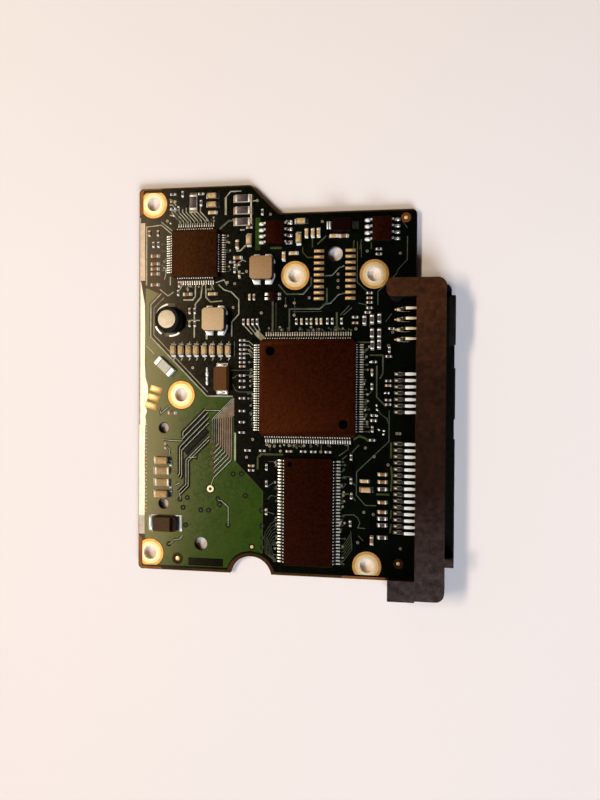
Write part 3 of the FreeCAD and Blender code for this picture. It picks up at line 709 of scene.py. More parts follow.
# Copper under green lacquer in the lower left, with its holes as radius, sides and place, and two strips
POUR_OUTLINE = [(19.6, 1.0), (19.95, 2.0), (20.9, 3.3), (22.6, 4.4), (24.6, 4.75), (26.6, 4.4),
                (27.1, 4.2), (27.1, 17.2), (21.9, 22.6), (21.4, 23.2), (21.4, 29.0), (20.9, 29.6),
                (20.9, 36.6), (15.1, 36.6), (2.85, 48.8), (2.3, 49.4), (2.3, 56.2), (4.4, 58.3),
                (1.9, 59.4), (1.45, 59.4)]
POUR_HOLES = [(LAND_R + LAND_GAP, 40, 9.4, 37.0), (1.45, 32, 13.85, 5.8), (1.2, 28, 5.6, 30.0),
              (1.2, 28, 5.6, 14.0), (1.2, 28, 8.75, 2.5)]
DARK_RECTANGLE = [(11.1, 1.15), (11.1, 2.8), (18.7, 2.8), (18.7, 1.15)]
POUR_STRIPS = [(1.45, 60.0, 1.85, 72.4), (25.25, 66.9, 26.3, 73.6)]


def copper_pour():
    piece = Piece("copper_pour")
    round_land = arc(*SCREW_HOLES[2], LAND_R + LAND_GAP, 112, -56, 14)
    holes = [circle(*hole) for hole in POUR_HOLES] + [DARK_RECTANGLE]
    piece.plate(POUR_OUTLINE + round_land, holes, MASK_Z, POUR_Z, POUR)
    for strip in POUR_STRIPS:
        piece.plate(span(*strip), [], MASK_Z, POUR_Z, POUR)
    piece.done("solder_mask")


# Tracks that cross the green copper: a bus that fans down to the left, and one with close lanes
LEFT_BUS = [
    [(14.7, 34.0), (9.8, 29.1), (9.8, 28.3)],
    [(15.2, 33.3), (9.6, 27.7)],
    [(15.4, 32.3), (9.5, 26.4), (9.1, 25.9), (9.1, 20.4), (8.8, 20.0)],
    [(15.4, 31.2), (9.55, 25.35), (9.55, 20.0), (9.2, 19.4)],
    [(15.5, 28.3), (10.5, 23.3), (10.5, 18.2), (8.9, 16.6)],
    [(15.5, 27.6), (11.0, 23.1), (11.0, 17.9), (9.1, 16.0)],
]
LEFT_BUS_GAP = [(15.3, 29.7), (10.4, 24.7)]
RIGHT_LANES = 10
SHORT_LANES = 3
LANE_X = 16.2
LANE_PITCH = 0.46
LANE_TURN_Y = 32.0
LANE_REACH = 4.4
LANES_RIGHT_X = 20.9
SHORT_LANE_END_Y = 27.3
LONG_LANE_TURN_Y = 26.9
LONG_LANE_END_X = 16.6


def right_bus():
    """Lanes from the chip's corner: down, then to the left, with the lower ends on a column of test pads."""
    lanes = []
    for i in range(RIGHT_LANES):
        x = LANE_X + LANE_PITCH * i
        turn_y = LANE_TURN_Y + 0.05 * i
        reach = min(LANES_RIGHT_X - x, LANE_REACH)
        line = [(x + reach, turn_y + reach), (x, turn_y)]
        if i < SHORT_LANES:
            line.append((x, SHORT_LANE_END_Y - 0.2 * i))
        else:
            low_y = LONG_LANE_TURN_Y - 0.56 * (i - SHORT_LANES)
            line += [(x, low_y), (LONG_LANE_END_X, low_y - (x - LONG_LANE_END_X))]
        lanes.append(line)
    return lanes


SINGLE_LINES = [
    [(5.6, 27.5), (8.0, 27.3), (9.6, 27.3)], [(17.6, 15.0), (18.2, 15.0), (19.75, 13.7), (19.75, 9.8)],
    [(14.8, 33.8), (17.8, 33.8)], [(5.9, 26.6), (6.9, 25.4), (6.9, 24.4)], [(11.0, 23.9), (12.8, 23.9)],
    [(6.8, 34.6), (4.9, 33.0), (4.6, 34.2)], [(9.0, 16.4), (9.4, 15.0)], [(8.2, 18.0), (9.0, 18.4)],
    [(7.0, 5.4), (8.0, 6.4), (9.2, 6.6), (9.8, 7.4)], [(16.6, 19.85), (16.0, 18.2)],
]
DARK_DOTS = [(13.8, 12.9), (15.5, 12.9), (20.8, 20.6), (22.6, 20.7), (23.4, 16.2), (26.9, 13.2), (27.2, 7.6),
             (10.5, 9.6), (6.8, 5.5), (17.5, 15.3), (17.9, 14.2), (12.6, 24.0), (9.9, 13.3), (10.8, 15.4),
             (9.2, 15.0), (27.0, 10.0), (27.1, 5.6), (19.75, 9.9)]
# Test pads at the lanes' lower ends, from the top down, and a larger one with a wide gap round it
TEST_PAD_X = [16.1, 16.6, 16.1, 16.6, 16.1, 16.4]
TEST_PAD_TOP_Y = 27.4
TEST_PAD_PITCH = 1.18
RINGED_PAD = (15.85, 17.4)
# Row of small vias up the left rim
RIM_VIAS = 26
RIM_VIA_X = 1.55
RIM_VIA_LOW_Y = 12.2
RIM_VIA_PITCH = 0.74


def green_tracks():
    piece = Piece("green_tracks")
    lanes = right_bus()
    for lines, width in ((LEFT_BUS, 1.0), ([LEFT_BUS_GAP], 1.2), (lanes, 0.6), (SINGLE_LINES, 0.56)):
        for line in lines:
            trace(piece, line, width, CLEARANCE, MASK_Z, POUR_Z + 0.004)
    for line in LEFT_BUS:
        trace(piece, line, 0.17, TRACE_GREEN)
    for i, line in enumerate(lanes):
        if i < SHORT_LANES:
            trace(piece, line, 0.16, TRACE_GREEN)
            trace(piece, line[1:], 0.2, TRACE_GREEN)
        else:
            trace(piece, line[:3], 0.3, TRACE_PINK)
            trace(piece, line[2:], 0.2, TRACE_GREEN)
    for line in SINGLE_LINES:
        trace(piece, line, 0.18, TRACE_GREEN)
    trace(piece, [(21.15, 23.4), (21.15, 29.2)], 0.34, TRACE_GREEN)
    trace(piece, [(27.1, 4.4), (27.1, 17.2), (21.4, 23.1)], 0.14, TRACE_OLIVE)
    for k, x in enumerate(TEST_PAD_X):
        y = TEST_PAD_TOP_Y - TEST_PAD_PITCH * k
        annulus(piece, x, y, 0.12, 0.38, POUR_Z, POUR_Z + 0.03, COPPER_PAD, 16)
    for x, y in DARK_DOTS:
        annulus(piece, x, y, 0.1, 0.56, POUR_Z, POUR_Z + 0.012, CLEARANCE, 20)
        annulus(piece, x, y, 0.1, 0.24, POUR_Z + 0.006, POUR_Z + 0.03, TRACE_OLIVE, 14)
    annulus(piece, *RINGED_PAD, 0.3, 1.0, POUR_Z, POUR_Z + 0.008, CLEARANCE, 28)
    annulus(piece, *RINGED_PAD, 0.34, 0.74, POUR_Z, POUR_Z + 0.035, WORN_GOLD, 28)
    for k in range(RIM_VIAS):
        x = RIM_VIA_X + 0.14 * (k % 2)
        via(piece, x, RIM_VIA_LOW_Y + RIM_VIA_PITCH * k, TRACE_GREEN, POUR_Z - 0.01, 0.2, 0.1)
    piece.done("solder_mask")


# Tracks on the dark part of the board: line and width. Those on the left are paler, partly the copper under
# the lacquer and partly painted glare of the light from the left.
TRACK_SLIM = 0.75
LEAD_TRACK_SHARE = 0.55
PALE_LINES = [
    ([(4.9, 58.3), (2.6, 56.0), (2.6, 49.2), (15.0, 36.8), (20.6, 36.8)], 0.28),
    ([(5.6, 57.5), (3.3, 55.3), (3.3, 49.6), (8.0, 44.9), (15.2, 37.6)], 0.16),
    ([(1.7, 47.3), (3.4, 45.6)], 0.22),
    ([(1.6, 60.2), (1.6, 72.4), (4.9, 72.7), (7.4, 70.6)], 0.24),
    ([(4.9, 73.3), (7.6, 71.2)], 0.2),
    ([(5.6, 61.2), (5.9, 62.4), (5.9, 63.6)], 0.2), ([(6.9, 61.8), (6.9, 60.0)], 0.24),
    ([(4.6, 59.2), (6.4, 57.8), (7.6, 58.6)], 0.24),
    ([(12.4, 60.2), (12.4, 57.6), (11.8, 56.9), (9.8, 56.9)], 0.3),
    ([(13.9, 60.2), (13.6, 57.4), (12.4, 56.0), (12.4, 55.0)], 0.3),
    ([(14.7, 60.2), (14.7, 57.4), (15.7, 56.4), (18.2, 56.6)], 0.3),
    ([(12.2, 54.2), (12.2, 49.0)], 0.3), ([(10.6, 52.6), (13.4, 52.6)], 0.24),
    ([(14.9, 49.8), (14.9, 48.6)], 0.4),
    ([(10.9, 60.2), (10.6, 58.9)], 0.24), ([(15.7, 60.2), (16.4, 58.9)], 0.24),
    ([(9.6, 60.2), (9.0, 59.0)], 0.2),
    ([(17.4, 60.0), (18.6, 58.9), (20.2, 58.4), (21.8, 56.8), (21.8, 53.8), (20.3, 52.2),
      (20.3, 49.2)], 0.24),
    ([(16.8, 60.4), (18.6, 61.0), (19.2, 59.8)], 0.18),
    ([(18.9, 78.0), (18.9, 74.4)], 0.42), ([(18.9, 78.0), (19.9, 79.2), (22.2, 79.2)], 0.2),
    ([(22.0, 71.2), (23.0, 71.2)], 0.3), ([(21.6, 73.4), (20.4, 73.4)], 0.3),
    ([(24.4, 77.1), (25.6, 77.1)], 0.2), ([(23.2, 68.0), (22.0, 66.9), (21.2, 66.9)], 0.3),
    ([(23.3, 64.6), (22.6, 65.0), (21.6, 64.4), (21.3, 63.3), (21.9, 62.3), (22.9, 62.2)], 0.16),
]
GREEN_LINES = [
    ([(17.6, 71.6), (19.5, 73.2), (21.4, 73.2)], 0.5),
    ([(26.0, 21.7), (26.0, 24.2), (26.7, 24.9), (31.4, 24.9)], 0.55),
    ([(45.9, 28.3), (47.0, 29.0), (48.2, 28.6), (49.0, 27.9)], 0.6), ([(28.4, 67.3), (30.8, 67.3)], 0.6),
    ([(50.6, 17.3), (53.2, 17.3)], 0.5), ([(43.6, 16.4), (44.4, 17.2), (45.1, 17.2)], 0.4),
    ([(53.5, 27.8), (53.5, 24.6)], 0.5), ([(53.5, 23.0), (53.7, 21.0), (53.5, 18.0)], 0.5),
    ([(53.6, 14.2), (53.5, 12.4)], 0.4), ([(53.6, 11.4), (53.4, 9.6)], 0.4),
    ([(35.2, 67.3), (35.2, 66.3), (36.2, 65.2), (37.4, 65.2)], 0.3), ([(38.2, 67.8), (40.0, 69.5)], 0.35),
    ([(45.6, 66.8), (45.7, 68.4)], 0.4), ([(37.2, 69.0), (37.2, 67.2)], 0.35),
    ([(49.2, 68.0), (49.2, 66.6)], 0.35),
    ([(46.3, 47.9), (49.2, 47.9)], 0.4), ([(49.0, 45.3), (51.8, 45.3)], 0.4),
    ([(24.8, 45.3), (23.4, 46.8)], 0.3),
]
DARK_LINES = [
    ([(29.0, 56.6), (29.0, 50.1)], 0.5), ([(29.7, 56.0), (29.7, 50.1)], 0.16),
    ([(40.25, 58.9), (40.25, 56.1), (38.8, 54.75), (32.5, 54.75), (32.5, 50.2)], 0.42),
    ([(33.2, 54.2), (39.2, 54.2)], 0.16), ([(44.0, 57.9), (42.6, 57.6), (41.0, 55.9), (39.4, 55.6)], 0.3),
    ([(43.8, 63.4), (42.7, 63.0), (41.3, 61.5), (39.8, 61.4)], 0.3),
    ([(42.3, 54.0), (42.3, 50.2)], 0.5), ([(43.0, 53.4), (44.8, 55.3)], 0.24),
    ([(30.2, 59.8), (31.9, 57.8), (35.3, 57.8), (37.0, 59.6), (37.0, 61.2)], 0.4),
    ([(46.4, 68.2), (46.4, 60.0), (48.9, 57.7)], 0.2), ([(47.2, 67.6), (47.2, 65.0)], 0.2),
    ([(47.2, 68.6), (46.9, 66.6)], 0.22), ([(55.4, 72.0), (56.4, 70.6)], 0.2),
    ([(56.4, 69.0), (56.4, 64.3), (54.6, 62.4), (54.2, 61.4), (50.6, 58.1), (50.6, 55.4)], 0.26),
    ([(46.7, 55.8), (48.3, 55.4), (48.7, 54.6)], 0.24), ([(49.0, 54.2), (49.0, 50.9)], 0.2),
    ([(45.4, 54.9), (43.6, 53.4)], 0.2), ([(52.2, 52.0), (53.4, 53.6)], 0.2),
    ([(50.5, 43.2), (50.5, 36.9), (52.4, 35.0)], 0.4), ([(51.7, 45.2), (51.7, 41.6), (51.1, 40.6)], 0.4),
    ([(53.05, 34.2), (53.05, 28.0), (46.55, 21.7), (46.55, 17.0), (48.4, 15.0), (50.6, 15.0)], 0.26),
    ([(50.6, 34.6), (51.4, 33.4), (52.6, 32.6), (52.9, 31.6)], 0.2), ([(47.0, 27.2), (45.6, 25.6)], 0.24),
    ([(43.8, 12.9), (46.0, 13.0), (46.9, 12.4), (47.3, 11.4), (46.9, 10.4), (48.4, 10.3)], 0.24),
    ([(43.8, 20.7), (45.2, 20.7)], 0.22), ([(45.3, 20.2), (46.3, 18.9)], 0.24),
    ([(45.6, 17.0), (46.4, 15.8)], 0.26),
    ([(20.2, 42.2), (24.8, 42.2)], 0.18), ([(20.6, 39.2), (21.2, 38.0), (22.0, 37.7), (24.8, 37.7)], 0.24),
    ([(20.6, 40.6), (21.6, 41.2), (24.0, 41.2), (24.8, 42.0)], 0.2), ([(20.9, 48.2), (20.9, 45.0)], 0.24),
    ([(33.6, 57.0), (33.6, 53.2)], 0.2), ([(31.7, 57.2), (31.7, 55.2)], 0.2),
    ([(28.6, 25.6), (28.8, 27.4)], 0.2), ([(34.4, 27.6), (33.4, 26.3)], 0.2),
    ([(39.3, 27.6), (39.3, 25.6)], 0.2),
    ([(44.8, 27.6), (44.8, 26.2), (42.9, 24.9)], 0.24), ([(37.0, 27.4), (37.0, 26.4)], 0.2),
    ([(43.6, 24.2), (44.6, 25.0)], 0.2), ([(28.2, 23.4), (29.8, 23.4), (30.2, 22.8)], 0.2),
    ([(28.0, 18.2), (29.6, 19.2)], 0.2), ([(28.2, 15.6), (28.8, 16.4), (30.2, 16.2)], 0.2),
    ([(28.0, 13.0), (29.6, 12.6)], 0.2), ([(47.0, 8.8), (48.0, 7.8)], 0.2),
    ([(49.8, 38.6), (49.0, 37.4)], 0.2),
]
# Short bright tracks in fans: at the big chip's upper left corner, above the driver and beside the big chip
for lane in range(4):
    x = 22.8 + lane
    PALE_LINES.append(([(x, 52.3), (x, 51.6), (24.7 + 0.55 * lane, 49.6 + 0.25 * lane)], 0.18))
for lane in range(9):
    x = 9.1 + 0.78 * lane
    end_y = 75.9 + 0.25 * (lane % 3)
    PALE_LINES.append(([(x, 72.9), (x - 0.2, 73.4), (x - 1.9, 75.2), (x - 1.9, end_y)], 0.22))
for lane in range(4):
    y = 74.2 + 1.1 * lane
    PALE_LINES.append(([(8.9 - 0.25 * lane, y - 0.8), (7.7 - 0.2 * lane, y + 0.4), (6.7, y + 0.5)], 0.26))
for lane in range(4):
    y = 48.2 - 0.85 * lane
    PALE_LINES.append(([(23.3, y), (24.0, y), (24.9, y - 0.8)], 0.16))
# Nested lines beside the memory chip
for lane in range(6):
    DARK_LINES.append(([(30.2, 11.4 - 0.75 * lane), (28.9 + 0.1 * lane, 10.6 - 0.7 * lane),
                        (27.6 + 0.27 * lane, 8.6 - 0.5 * lane), (27.7 + 0.32 * lane, 4.4 - 0.1 * lane),
                        (30.0, 2.7 + 0.1 * lane)], 0.14))
    x = 45.7 - 0.05 * lane
    y = 3.4 + 0.65 * lane
    DARK_LINES.append(([(43.5, y), (44.0, y + 0.1), (x, y + 2.5), (x, 7.2 + 0.5 * lane)], 0.14))

VIAS = [(33.5, 53.5), (33.5, 56.0), (42.5, 61.7), (42.5, 60.4), (42.5, 59.0), (28.5, 26.6), (29.5, 26.6),
        (32.6, 26.8), (35.7, 26.8), (27.9, 26.9), (30.8, 25.6), (39.2, 25.6), (52.9, 23.3), (48.4, 66.2),
        (39.2, 72.4), (28.4, 74.2), (25.6, 77.1), (24.9, 27.9), (23.6, 24.2), (26.6, 54.0), (6.2, 73.5),
        (20.6, 55.2), (21.9, 61.4), (20.9, 60.1), (23.4, 62.6), (46.2, 50.6), (47.6, 45.9), (48.3, 26.6),
        (50.0, 13.2), (50.1, 24.9), (48.1, 13.6), (52.8, 47.2), (53.6, 49.9), (54.6, 29.6), (55.2, 29.6),
        (55.0, 65.6), (19.3, 60.4), (31.7, 55.4), (36.6, 57.0), (46.9, 7.4), (55.5, 6.5), (11.9, 42.7)]


def dark_tracks():
    piece = Piece("dark_tracks")
    for lines, slim, copper in ((DARK_LINES, TRACK_SLIM, TRACE), (PALE_LINES, 1.0, TRACE_PALE),
                                (GREEN_LINES, TRACK_SLIM, TRACE_OLIVE)):
        for line, width in lines:
            trace(piece, line, slim * width, copper)
    for x0, y0, _, x1, y1, _ in parts_of("capacitors_0805"):
        x = (x0 + x1) / 2
        if y1 - y0 > x1 - x0 and 43 < y0 < 48:
            trace(piece, [(x - 0.2, y0 - 0.3), (x + 0.2, y0 - 0.7), (x - 0.1, y0 - 1.1)], 0.22, TRACE_PALE)
            trace(piece, [(x - 0.1, y1 + 0.2), (x + 0.15, y1 + 0.8)], 0.2, TRACE_PALE)
    piece.plate([(25.1, 49.7), (25.9, 50.5), (27.5, 48.9), (26.7, 48.1)], [], MASK_Z, POUR_Z, TRACE_PALE)
    for x, y in VIAS:
        via(piece, x, y, DULL_TIN)
    for node in ("controller_leads", "driver_leads", "memory_leads"):
        for tip, out in toes_of(node):
            if random.random() > LEAD_TRACK_SHARE:
                continue
            bend = random.choice((-1, 0, 1)) * random.uniform(0.3, 0.7)
            side = Vector((-out.y, out.x))
            middle = tip + out * random.uniform(0.5, 1.2)
            end = middle + (out * 0.6 + side) * bend if bend else middle + out * 0.4
            trace(piece, [tuple(tip - out * 0.1), tuple(middle), tuple(end)], 0.15, TRACE)
            metal = random.choice((TRACE, TRACE, TRACE_PALE, DULL_TIN))
            via(piece, end.x, end.y, metal, MASK_Z, 0.22, 0.09)
    piece.done("solder_mask")


def lead_pads(name, node, width, inside, outside):
    """Pads and solder under the toes of one chip's leads."""
    piece = Piece(name)
    for tip, out in toes_of(node):
        put = outward(tip, out)
        block(piece, put, span(-inside, -width / 2, outside, width / 2), 0.0, PAD_Z, 0.02, TIN)
        fillet(piece, put, -0.02, outside * 0.85, width * 0.85, PAD_Z - 0.01, 0.1, TIN)
    piece.done("tin_plate")


# Lead rows of the big chips: node, width of the shoulders, toe to heel, and shoulder length on the left
LEAD_ROWS = [("controller_leads", 0.18, 0.38, 0.24), ("driver_leads", 0.2, 0.38, 0.24),
             ("memory_leads", 0.24, 0.24, 0.18)]
SHOULDER_LENGTH = 0.18


def lead_shoulders():
    """Flat upper ends of the leads, where they leave the big chips, and a dark block behind their heels:
    painted shade where the leads bend.
    """
    piece = Piece("lead_shoulders")
    for node, width, heel, left_length in LEAD_ROWS:
        top = local_box(node)[5]
        for (tip, out), b in zip(toes_of(node), parts_of(node)):
            put = outward(tip, out)
            root = -max(b[3] - b[0], b[4] - b[1])
            end = root + (left_length if out.x < 0 else SHOULDER_LENGTH)
            shoulder = span(root, -0.5 * width, end, 0.5 * width)
            block(piece, put, shoulder, top - 0.1, top + 0.01, 0.02, BRIGHT_TIN)
            # The dark block over each lead's bend paints its shade.
            behind = span(end - 0.04, -0.7 * width, -heel, 0.7 * width)
            block(piece, put, behind, 0.02, 0.24, 0.02, DARK_TIN)
    piece.done("tin_plate")


# Lands, pads and the bare strip along the left edge

def plated_lands():
    piece = Piece("plated_lands")
    limit = (LAND_INSET, LAND_INSET, BOARD_WIDTH - LAND_INSET, BOARD_LENGTH - LAND_INSET)
    rings = [(PALE_R, LAND_R, 0.0, PAD_Z, GOLD), (WORN_R, PALE_R, 0.0, PAD_Z + 0.002, PALE_GOLD),
             (SCREW_R, WORN_R, 0.0, PAD_Z + 0.012, WORN_GOLD),
             (SCREW_R, LAND_R, UNDER_Z - 0.03, UNDER_Z, GOLD)]
    for x, y in SCREW_HOLES:
        for ring in rings:
            annulus(piece, x, y, *ring, 64, limit)
        annulus(piece, x, y, SCREW_R - HOLE_WALL, SCREW_R, UNDER_Z, PAD_Z + 0.006, WORN_GOLD, 64)
    piece.done("gold_plate")


def hole_wall_shade():
    """Dark bare walls of the plain holes, painted darker than the board's laminate as the shade inside them.
    """
    piece = Piece("hole_wall_shade")
    for x, y, radius in PLAIN_HOLES:
        annulus(piece, x, y, radius - HOLE_WALL, radius, UNDER_Z, MASK_Z, RED_BROWN)
    piece.done("solder_mask")


HEAD_PAD_COLUMNS = (38.6, 45.05)
HEAD_PAD_COUNT = 9
HEAD_PAD_TOP_Y = 66.45
HEAD_PAD_PITCH = 1.206
MOTOR_PADS = [(3.85, 38.1), (3.3, 36.35), (2.75, 34.6)]
NOTCH_PAD = (24.85, 5.6)


def contact_pads():
    """Bare pads for the heads' and the motor's spring contacts, and the round targets."""
    piece = Piece("contact_pads")
    for x in HEAD_PAD_COLUMNS:
        for i in range(HEAD_PAD_COUNT):
            y = HEAD_PAD_TOP_Y - HEAD_PAD_PITCH * i
            block(piece, turned(x, y), rectangle(2.15, 0.7, 0.08), 0.0, PAD_Z, 0.025, DARK_TIN)
            for shift, length, width, rise, metal in ((0.0, 2.0, 0.56, 0.003, PAD_GOLD),
                                                      (-0.1, 0.66, 0.2, 0.008, PALE_GOLD)):
                face = rectangle(length, width, 0.08)
                block(piece, turned(x + shift, y), face, PAD_Z - 0.02, PAD_Z + rise, 0.004, metal)
    for x, y in MOTOR_PADS:
        put = turned(x, y, -17)
        block(piece, put, rectangle(2.6, 1.25, 0.1), 0.0, PAD_Z, 0.03, GOLD)
        block(piece, put, rectangle(1.9, 0.5, 0.15), PAD_Z - 0.02, PAD_Z + 0.008, 0.005, PALE_GOLD)
    for (x, y), radius in zip(TARGETS, TARGET_DOT_R):
        block(piece, turned(x, y), circle(radius, 24), 0.0, MASK_Z + 0.012, 0.015, PALE_GOLD)
    for target, bare in zip(TARGETS, (ORANGE_LAMINATE, RED_BROWN)):
        annulus(piece, *target, 0.4, TARGET_GAP_R - 0.02, 0.0, 0.5 * MASK_Z, bare, 24)
    annulus(piece, *NOTCH_PAD, 0.1, 0.36, 0.0, PAD_Z, PALE_GOLD, 24)
    annulus(piece, *NOTCH_PAD, 0.36, 0.66, MASK_Z, POUR_Z + 0.006, CLEARANCE, 24)
    piece.done("gold_plate")


# Inner edge of the bare strip along the left rim, from its lower end up: it bows out round the motor pads
STRIP_EDGE = [(1.32, 7.4), (1.42, 9.0), (1.36, 12.0), (1.4, 18.0), (1.33, 24.0), (1.42, 30.0), (1.6, 31.4),
              (1.45, 32.4), (1.8, 33.4), (1.5, 34.9), (2.0, 36.4), (2.05, 38.0), (1.9, 39.2), (1.45, 40.6),
              (1.3, 44.0), (1.36, 50.0), (1.28, 56.0), (1.34, 62.0), (1.27, 68.0), (1.3, 73.2)]


def edge_strip():
    """Bare tinned copper along the left rim, duller at its lower end and along the upper half's edge."""
    piece = Piece("edge_strip")
    bright = [(0.12, 11.4), (1.36, 11.4)] + STRIP_EDGE[3:17] + [(0.36, 61.0), (0.36, 31.0), (0.12, 30.6)]
    piece.plate(bright, [], 0.0, PAD_Z, EDGE_TIN)
    piece.plate(span(0.12, 7.4, 1.38, 11.4), [], 0.0, PAD_Z - 0.01, RIM_TIN)
    piece.plate(STRIP_EDGE[17:] + [(0.36, 73.2), (0.36, 61.1), (1.33, 61.1)], [], 0.0, PAD_Z, WARM_TIN)
    piece.plate(span(0.12, 31.0, 0.34, 74.4), [], 0.0, PAD_Z - 0.01, RIM_TIN)
    piece.done("tin_plate")


# Chip bodies

MARK_SIDES = 28
MARK_DEPTH = 0.09
BODY_DRAFT = 0.14
BODY_EDGE = 0.07


def chip_body(name, node, material, marks=(), cut=0.2):
    """Moulded body over a CAD body's box, with cut corners, rounded edges and sunk marks (x, y, radius)."""
    x0, y0, z0, x1, y1, z1 = local_box(node)
    middle = (z0 + z1) / 2
    levels = [(BODY_DRAFT, z0), (0, middle - 0.08), (0, middle + 0.08), (BODY_DRAFT - 0.01, z1 - BODY_EDGE),
              (BODY_DRAFT + 0.3 * BODY_EDGE, z1 - 0.3 * BODY_EDGE), (BODY_DRAFT + BODY_EDGE, z1)]
    piece = Piece(name)
    outline = cut_rectangle(x0, y0, x1, y1, cut)
    loops = [stacked(piece, turned(0, 0), outline, levels, material, open_top=True)]
    for x, y, radius in marks:
        loops.append(piece.add_points([(*point, z1) for point in circle(radius, MARK_SIDES, x, y)]))
    flat = [[Vector((*piece.points[i][:2], 0)) for i in loop] for loop in loops]
    index = sum(loops, [])
    for triangle in tessellate_polygon(flat):
        piece.add_face([index[i] for i in triangle], material)
    # The marks' walls and floors are painted near black: painted shade.
    for (x, y, radius), rim in zip(marks, loops[1:]):
        bottom = circle(radius - 0.06, MARK_SIDES, x, y)
        bottom = piece.add_points([(*point, z1 - MARK_DEPTH) for point in bottom])
        piece.add_walls(rim, bottom, SUNK_MARK_SHADE)
        piece.add_face(bottom, SUNK_MARK_SHADE)
    piece.done("mould_compound", node)


# Chip resistors and capacitors: medium and large ones by their length

MEDIUM_FROM = 1.8
LARGE_FROM = 2.5
SMALL_RESISTOR_SHARE = 0.65
BRIGHT_SOLDER_TO_X = 45


def chip_part(piece, x, y, degrees, length, width, height, kind):
    """Chip part with metal ends, solder and pads. kind is the body's material, GLAZE for a resistor."""
    put = turned(x, y, degrees)
    medium_up = length > MEDIUM_FROM
    large = length > LARGE_FROM
    cap = (0.14 if medium_up else 0.2) * length
    edge = 0.1 * min(width, height)
    core = rectangle(length - 0.5 * cap, width * 0.96, edge)
    if kind is GLAZE:
        block(piece, put, core, 0.02, height * 0.9, edge * 0.5, WHITE_CERAMIC)
        glaze = rectangle(length - 2 * cap + 0.1, width * 0.9, edge)
        block(piece, put, glaze, height * 0.8, height, edge * 0.4, GLAZE)
    else:
        block(piece, put, core, 0.02, height * 0.97, edge, kind)
    half = length / 2
    toe = half + 0.2 * width + (0.15 if medium_up else 0.06)
    for side in (0, 180):
        end = turned(x, y, degrees + side)
        metal = BRIGHT_TIN if kind is GLAZE and not large else CREAM_TIN
        solder = BRIGHT_TIN if x < BRIGHT_SOLDER_TO_X and not large else DULL_TIN
        if kind is CAPACITOR and medium_up and not large:
            metal = DULL_TIN
        # Metal ends that face right on medium and large parts are dark: painted shade on the side away from
        # the lamps.
        if medium_up and end(1, 0)[0] - x > 0.5:
            solder = DARK_TIN
            metal = DARK_TIN if kind is ORANGE_CAPACITOR else metal
        cap_place = turned(*end(half - cap / 2, 0), degrees + side)
        block(piece, cap_place, rectangle(cap, width, edge), 0.0, height, edge, metal)
        fillet(piece, end, half - 0.01, toe, width * 0.96, PAD_Z - 0.01, height * 0.45, solder)
        pad = span(half - cap, -0.5 * width, toe + 0.05, 0.5 * width)
        block(piece, end, pad, 0.0, PAD_Z, 0.02, DULL_TIN)


def chip_group(name, node, slot, kind_of, extra=(), slim=1.0):
    """Chip parts in place of a node's plain blocks, and some more of the same size: x, y, angle."""
    piece = Piece(name)
    places = []
    for b in parts_of(node):
        size_x = b[3] - b[0]
        size_y = b[4] - b[1]
        length = max(size_x, size_y)
        width = min(size_x, size_y)
        places.append((*centre(b), 0 if size_x > size_y else 90, length, width, b[5]))
    size = places[0][3:]
    places += [(x, y, degrees, *size) for x, y, degrees in extra]
    for x, y, degrees, length, width, height in places:
        chip_part(piece, x, y, degrees, length, width * slim, height, kind_of(x, y))
    piece.done(slot, node)


def large_kind(x, y):
    if y > 30:
        return GLAZE
    return TAN_CAPACITOR if 17 < y < 22.5 else ORANGE_CAPACITOR


def medium_kind(x, y):
    if x < 6:
        return BROWN_CAPACITOR
    if x > 51 and y < 22 or x > 47 and y > 44:
        return random.choice((GLAZE, GLAZE, BROWN_CAPACITOR))
    return random.choice((CAPACITOR, CAPACITOR, BROWN_CAPACITOR))


def small_kind(x, y):
    if 23 < x < 45 and y > 50:
        return random.choice((CAPACITOR, GLAZE, GLAZE, BROWN_CAPACITOR))
    return GLAZE if random.random() < SMALL_RESISTOR_SHARE else BROWN_CAPACITOR


# Small parts that only the visual model has: x, y, angle
EXTRA_0402 = [(7.5, 79.0, 0), (7.5, 77.5, 0), (7.5, 76.0, 0), (9.6, 79.0, 90), (13.6, 78.9, 0),
              (13.6, 77.0, 90), (2.3, 71.0, 90), (4.2, 71.0, 90), (3.2, 68.6, 90), (4.3, 68.6, 90),
              (8.9, 60.2, 90), (8.7, 58.4, 90), (20.4, 64.6, 0), (21.4, 64.0, 0), (20.9, 63.0, 90),
              (21.9, 62.1, 90), (24.0, 71.6, 0), (32.3, 72.6, 0), (32.3, 71.1, 0), (32.3, 69.8, 0),
              (32.3, 68.2, 0), (48.6, 53.9, 0), (53.0, 46.4, 90), (53.4, 50.6, 0), (6.0, 26.2, 90),
              (7.2, 22.6, 90), (7.2, 17.0, 90)]
EXTRA_0603 = [(7.5, 33.2, 0)]


# Bigger parts

def tantalum_solder():
    """Solder round the feet of the moulded capacitor's end strips."""
    piece = Piece("tantalum_solder")
    for b in parts_of("tantalum_ends"):
        put = turned(*centre(b))
        length = b[3] - b[0] + 0.1
        width = b[4] - b[1] + 0.1
        block(piece, put, rectangle(length, width, 0.1), 0.0, PAD_Z, 0.03, TIN)
        dome(piece, put, length - 0.05, width - 0.05, PAD_Z - 0.01, 0.25, SOLDER)
    piece.done("tin_plate")


def small_chip_solder(name, node):
    """Thick solder on an eight-lead chip's toes."""
    piece = Piece(name)
    for tip, out in toes_of(node):
        put = turned(tip.x - 0.05 * out.x, tip.y)
        block(piece, put, rectangle(1.2, 0.62, 0.08), 0.0, PAD_Z, 0.03, DULL_TIN)
        if out.x < 0:
            dome(piece, put, 1.2, 0.82, PAD_Z - 0.01, 0.42, BRIGHT_TIN, squareness=2.1)
        else:
            dome(piece, put, 1.0, 0.62, PAD_Z - 0.01, 0.2, SOLDER)
    piece.done("tin_plate")


DRUM_RIM = 0.15
DRUM_TURNS = 8
WIRE_DEPTH = 0.07
# Solder lines on the board round the drum's base: first and last angle, and radius
DRUM_ARCS = [(100, 158, 3.3), (203, 236, 3.5), (266, 306, 3.35)]


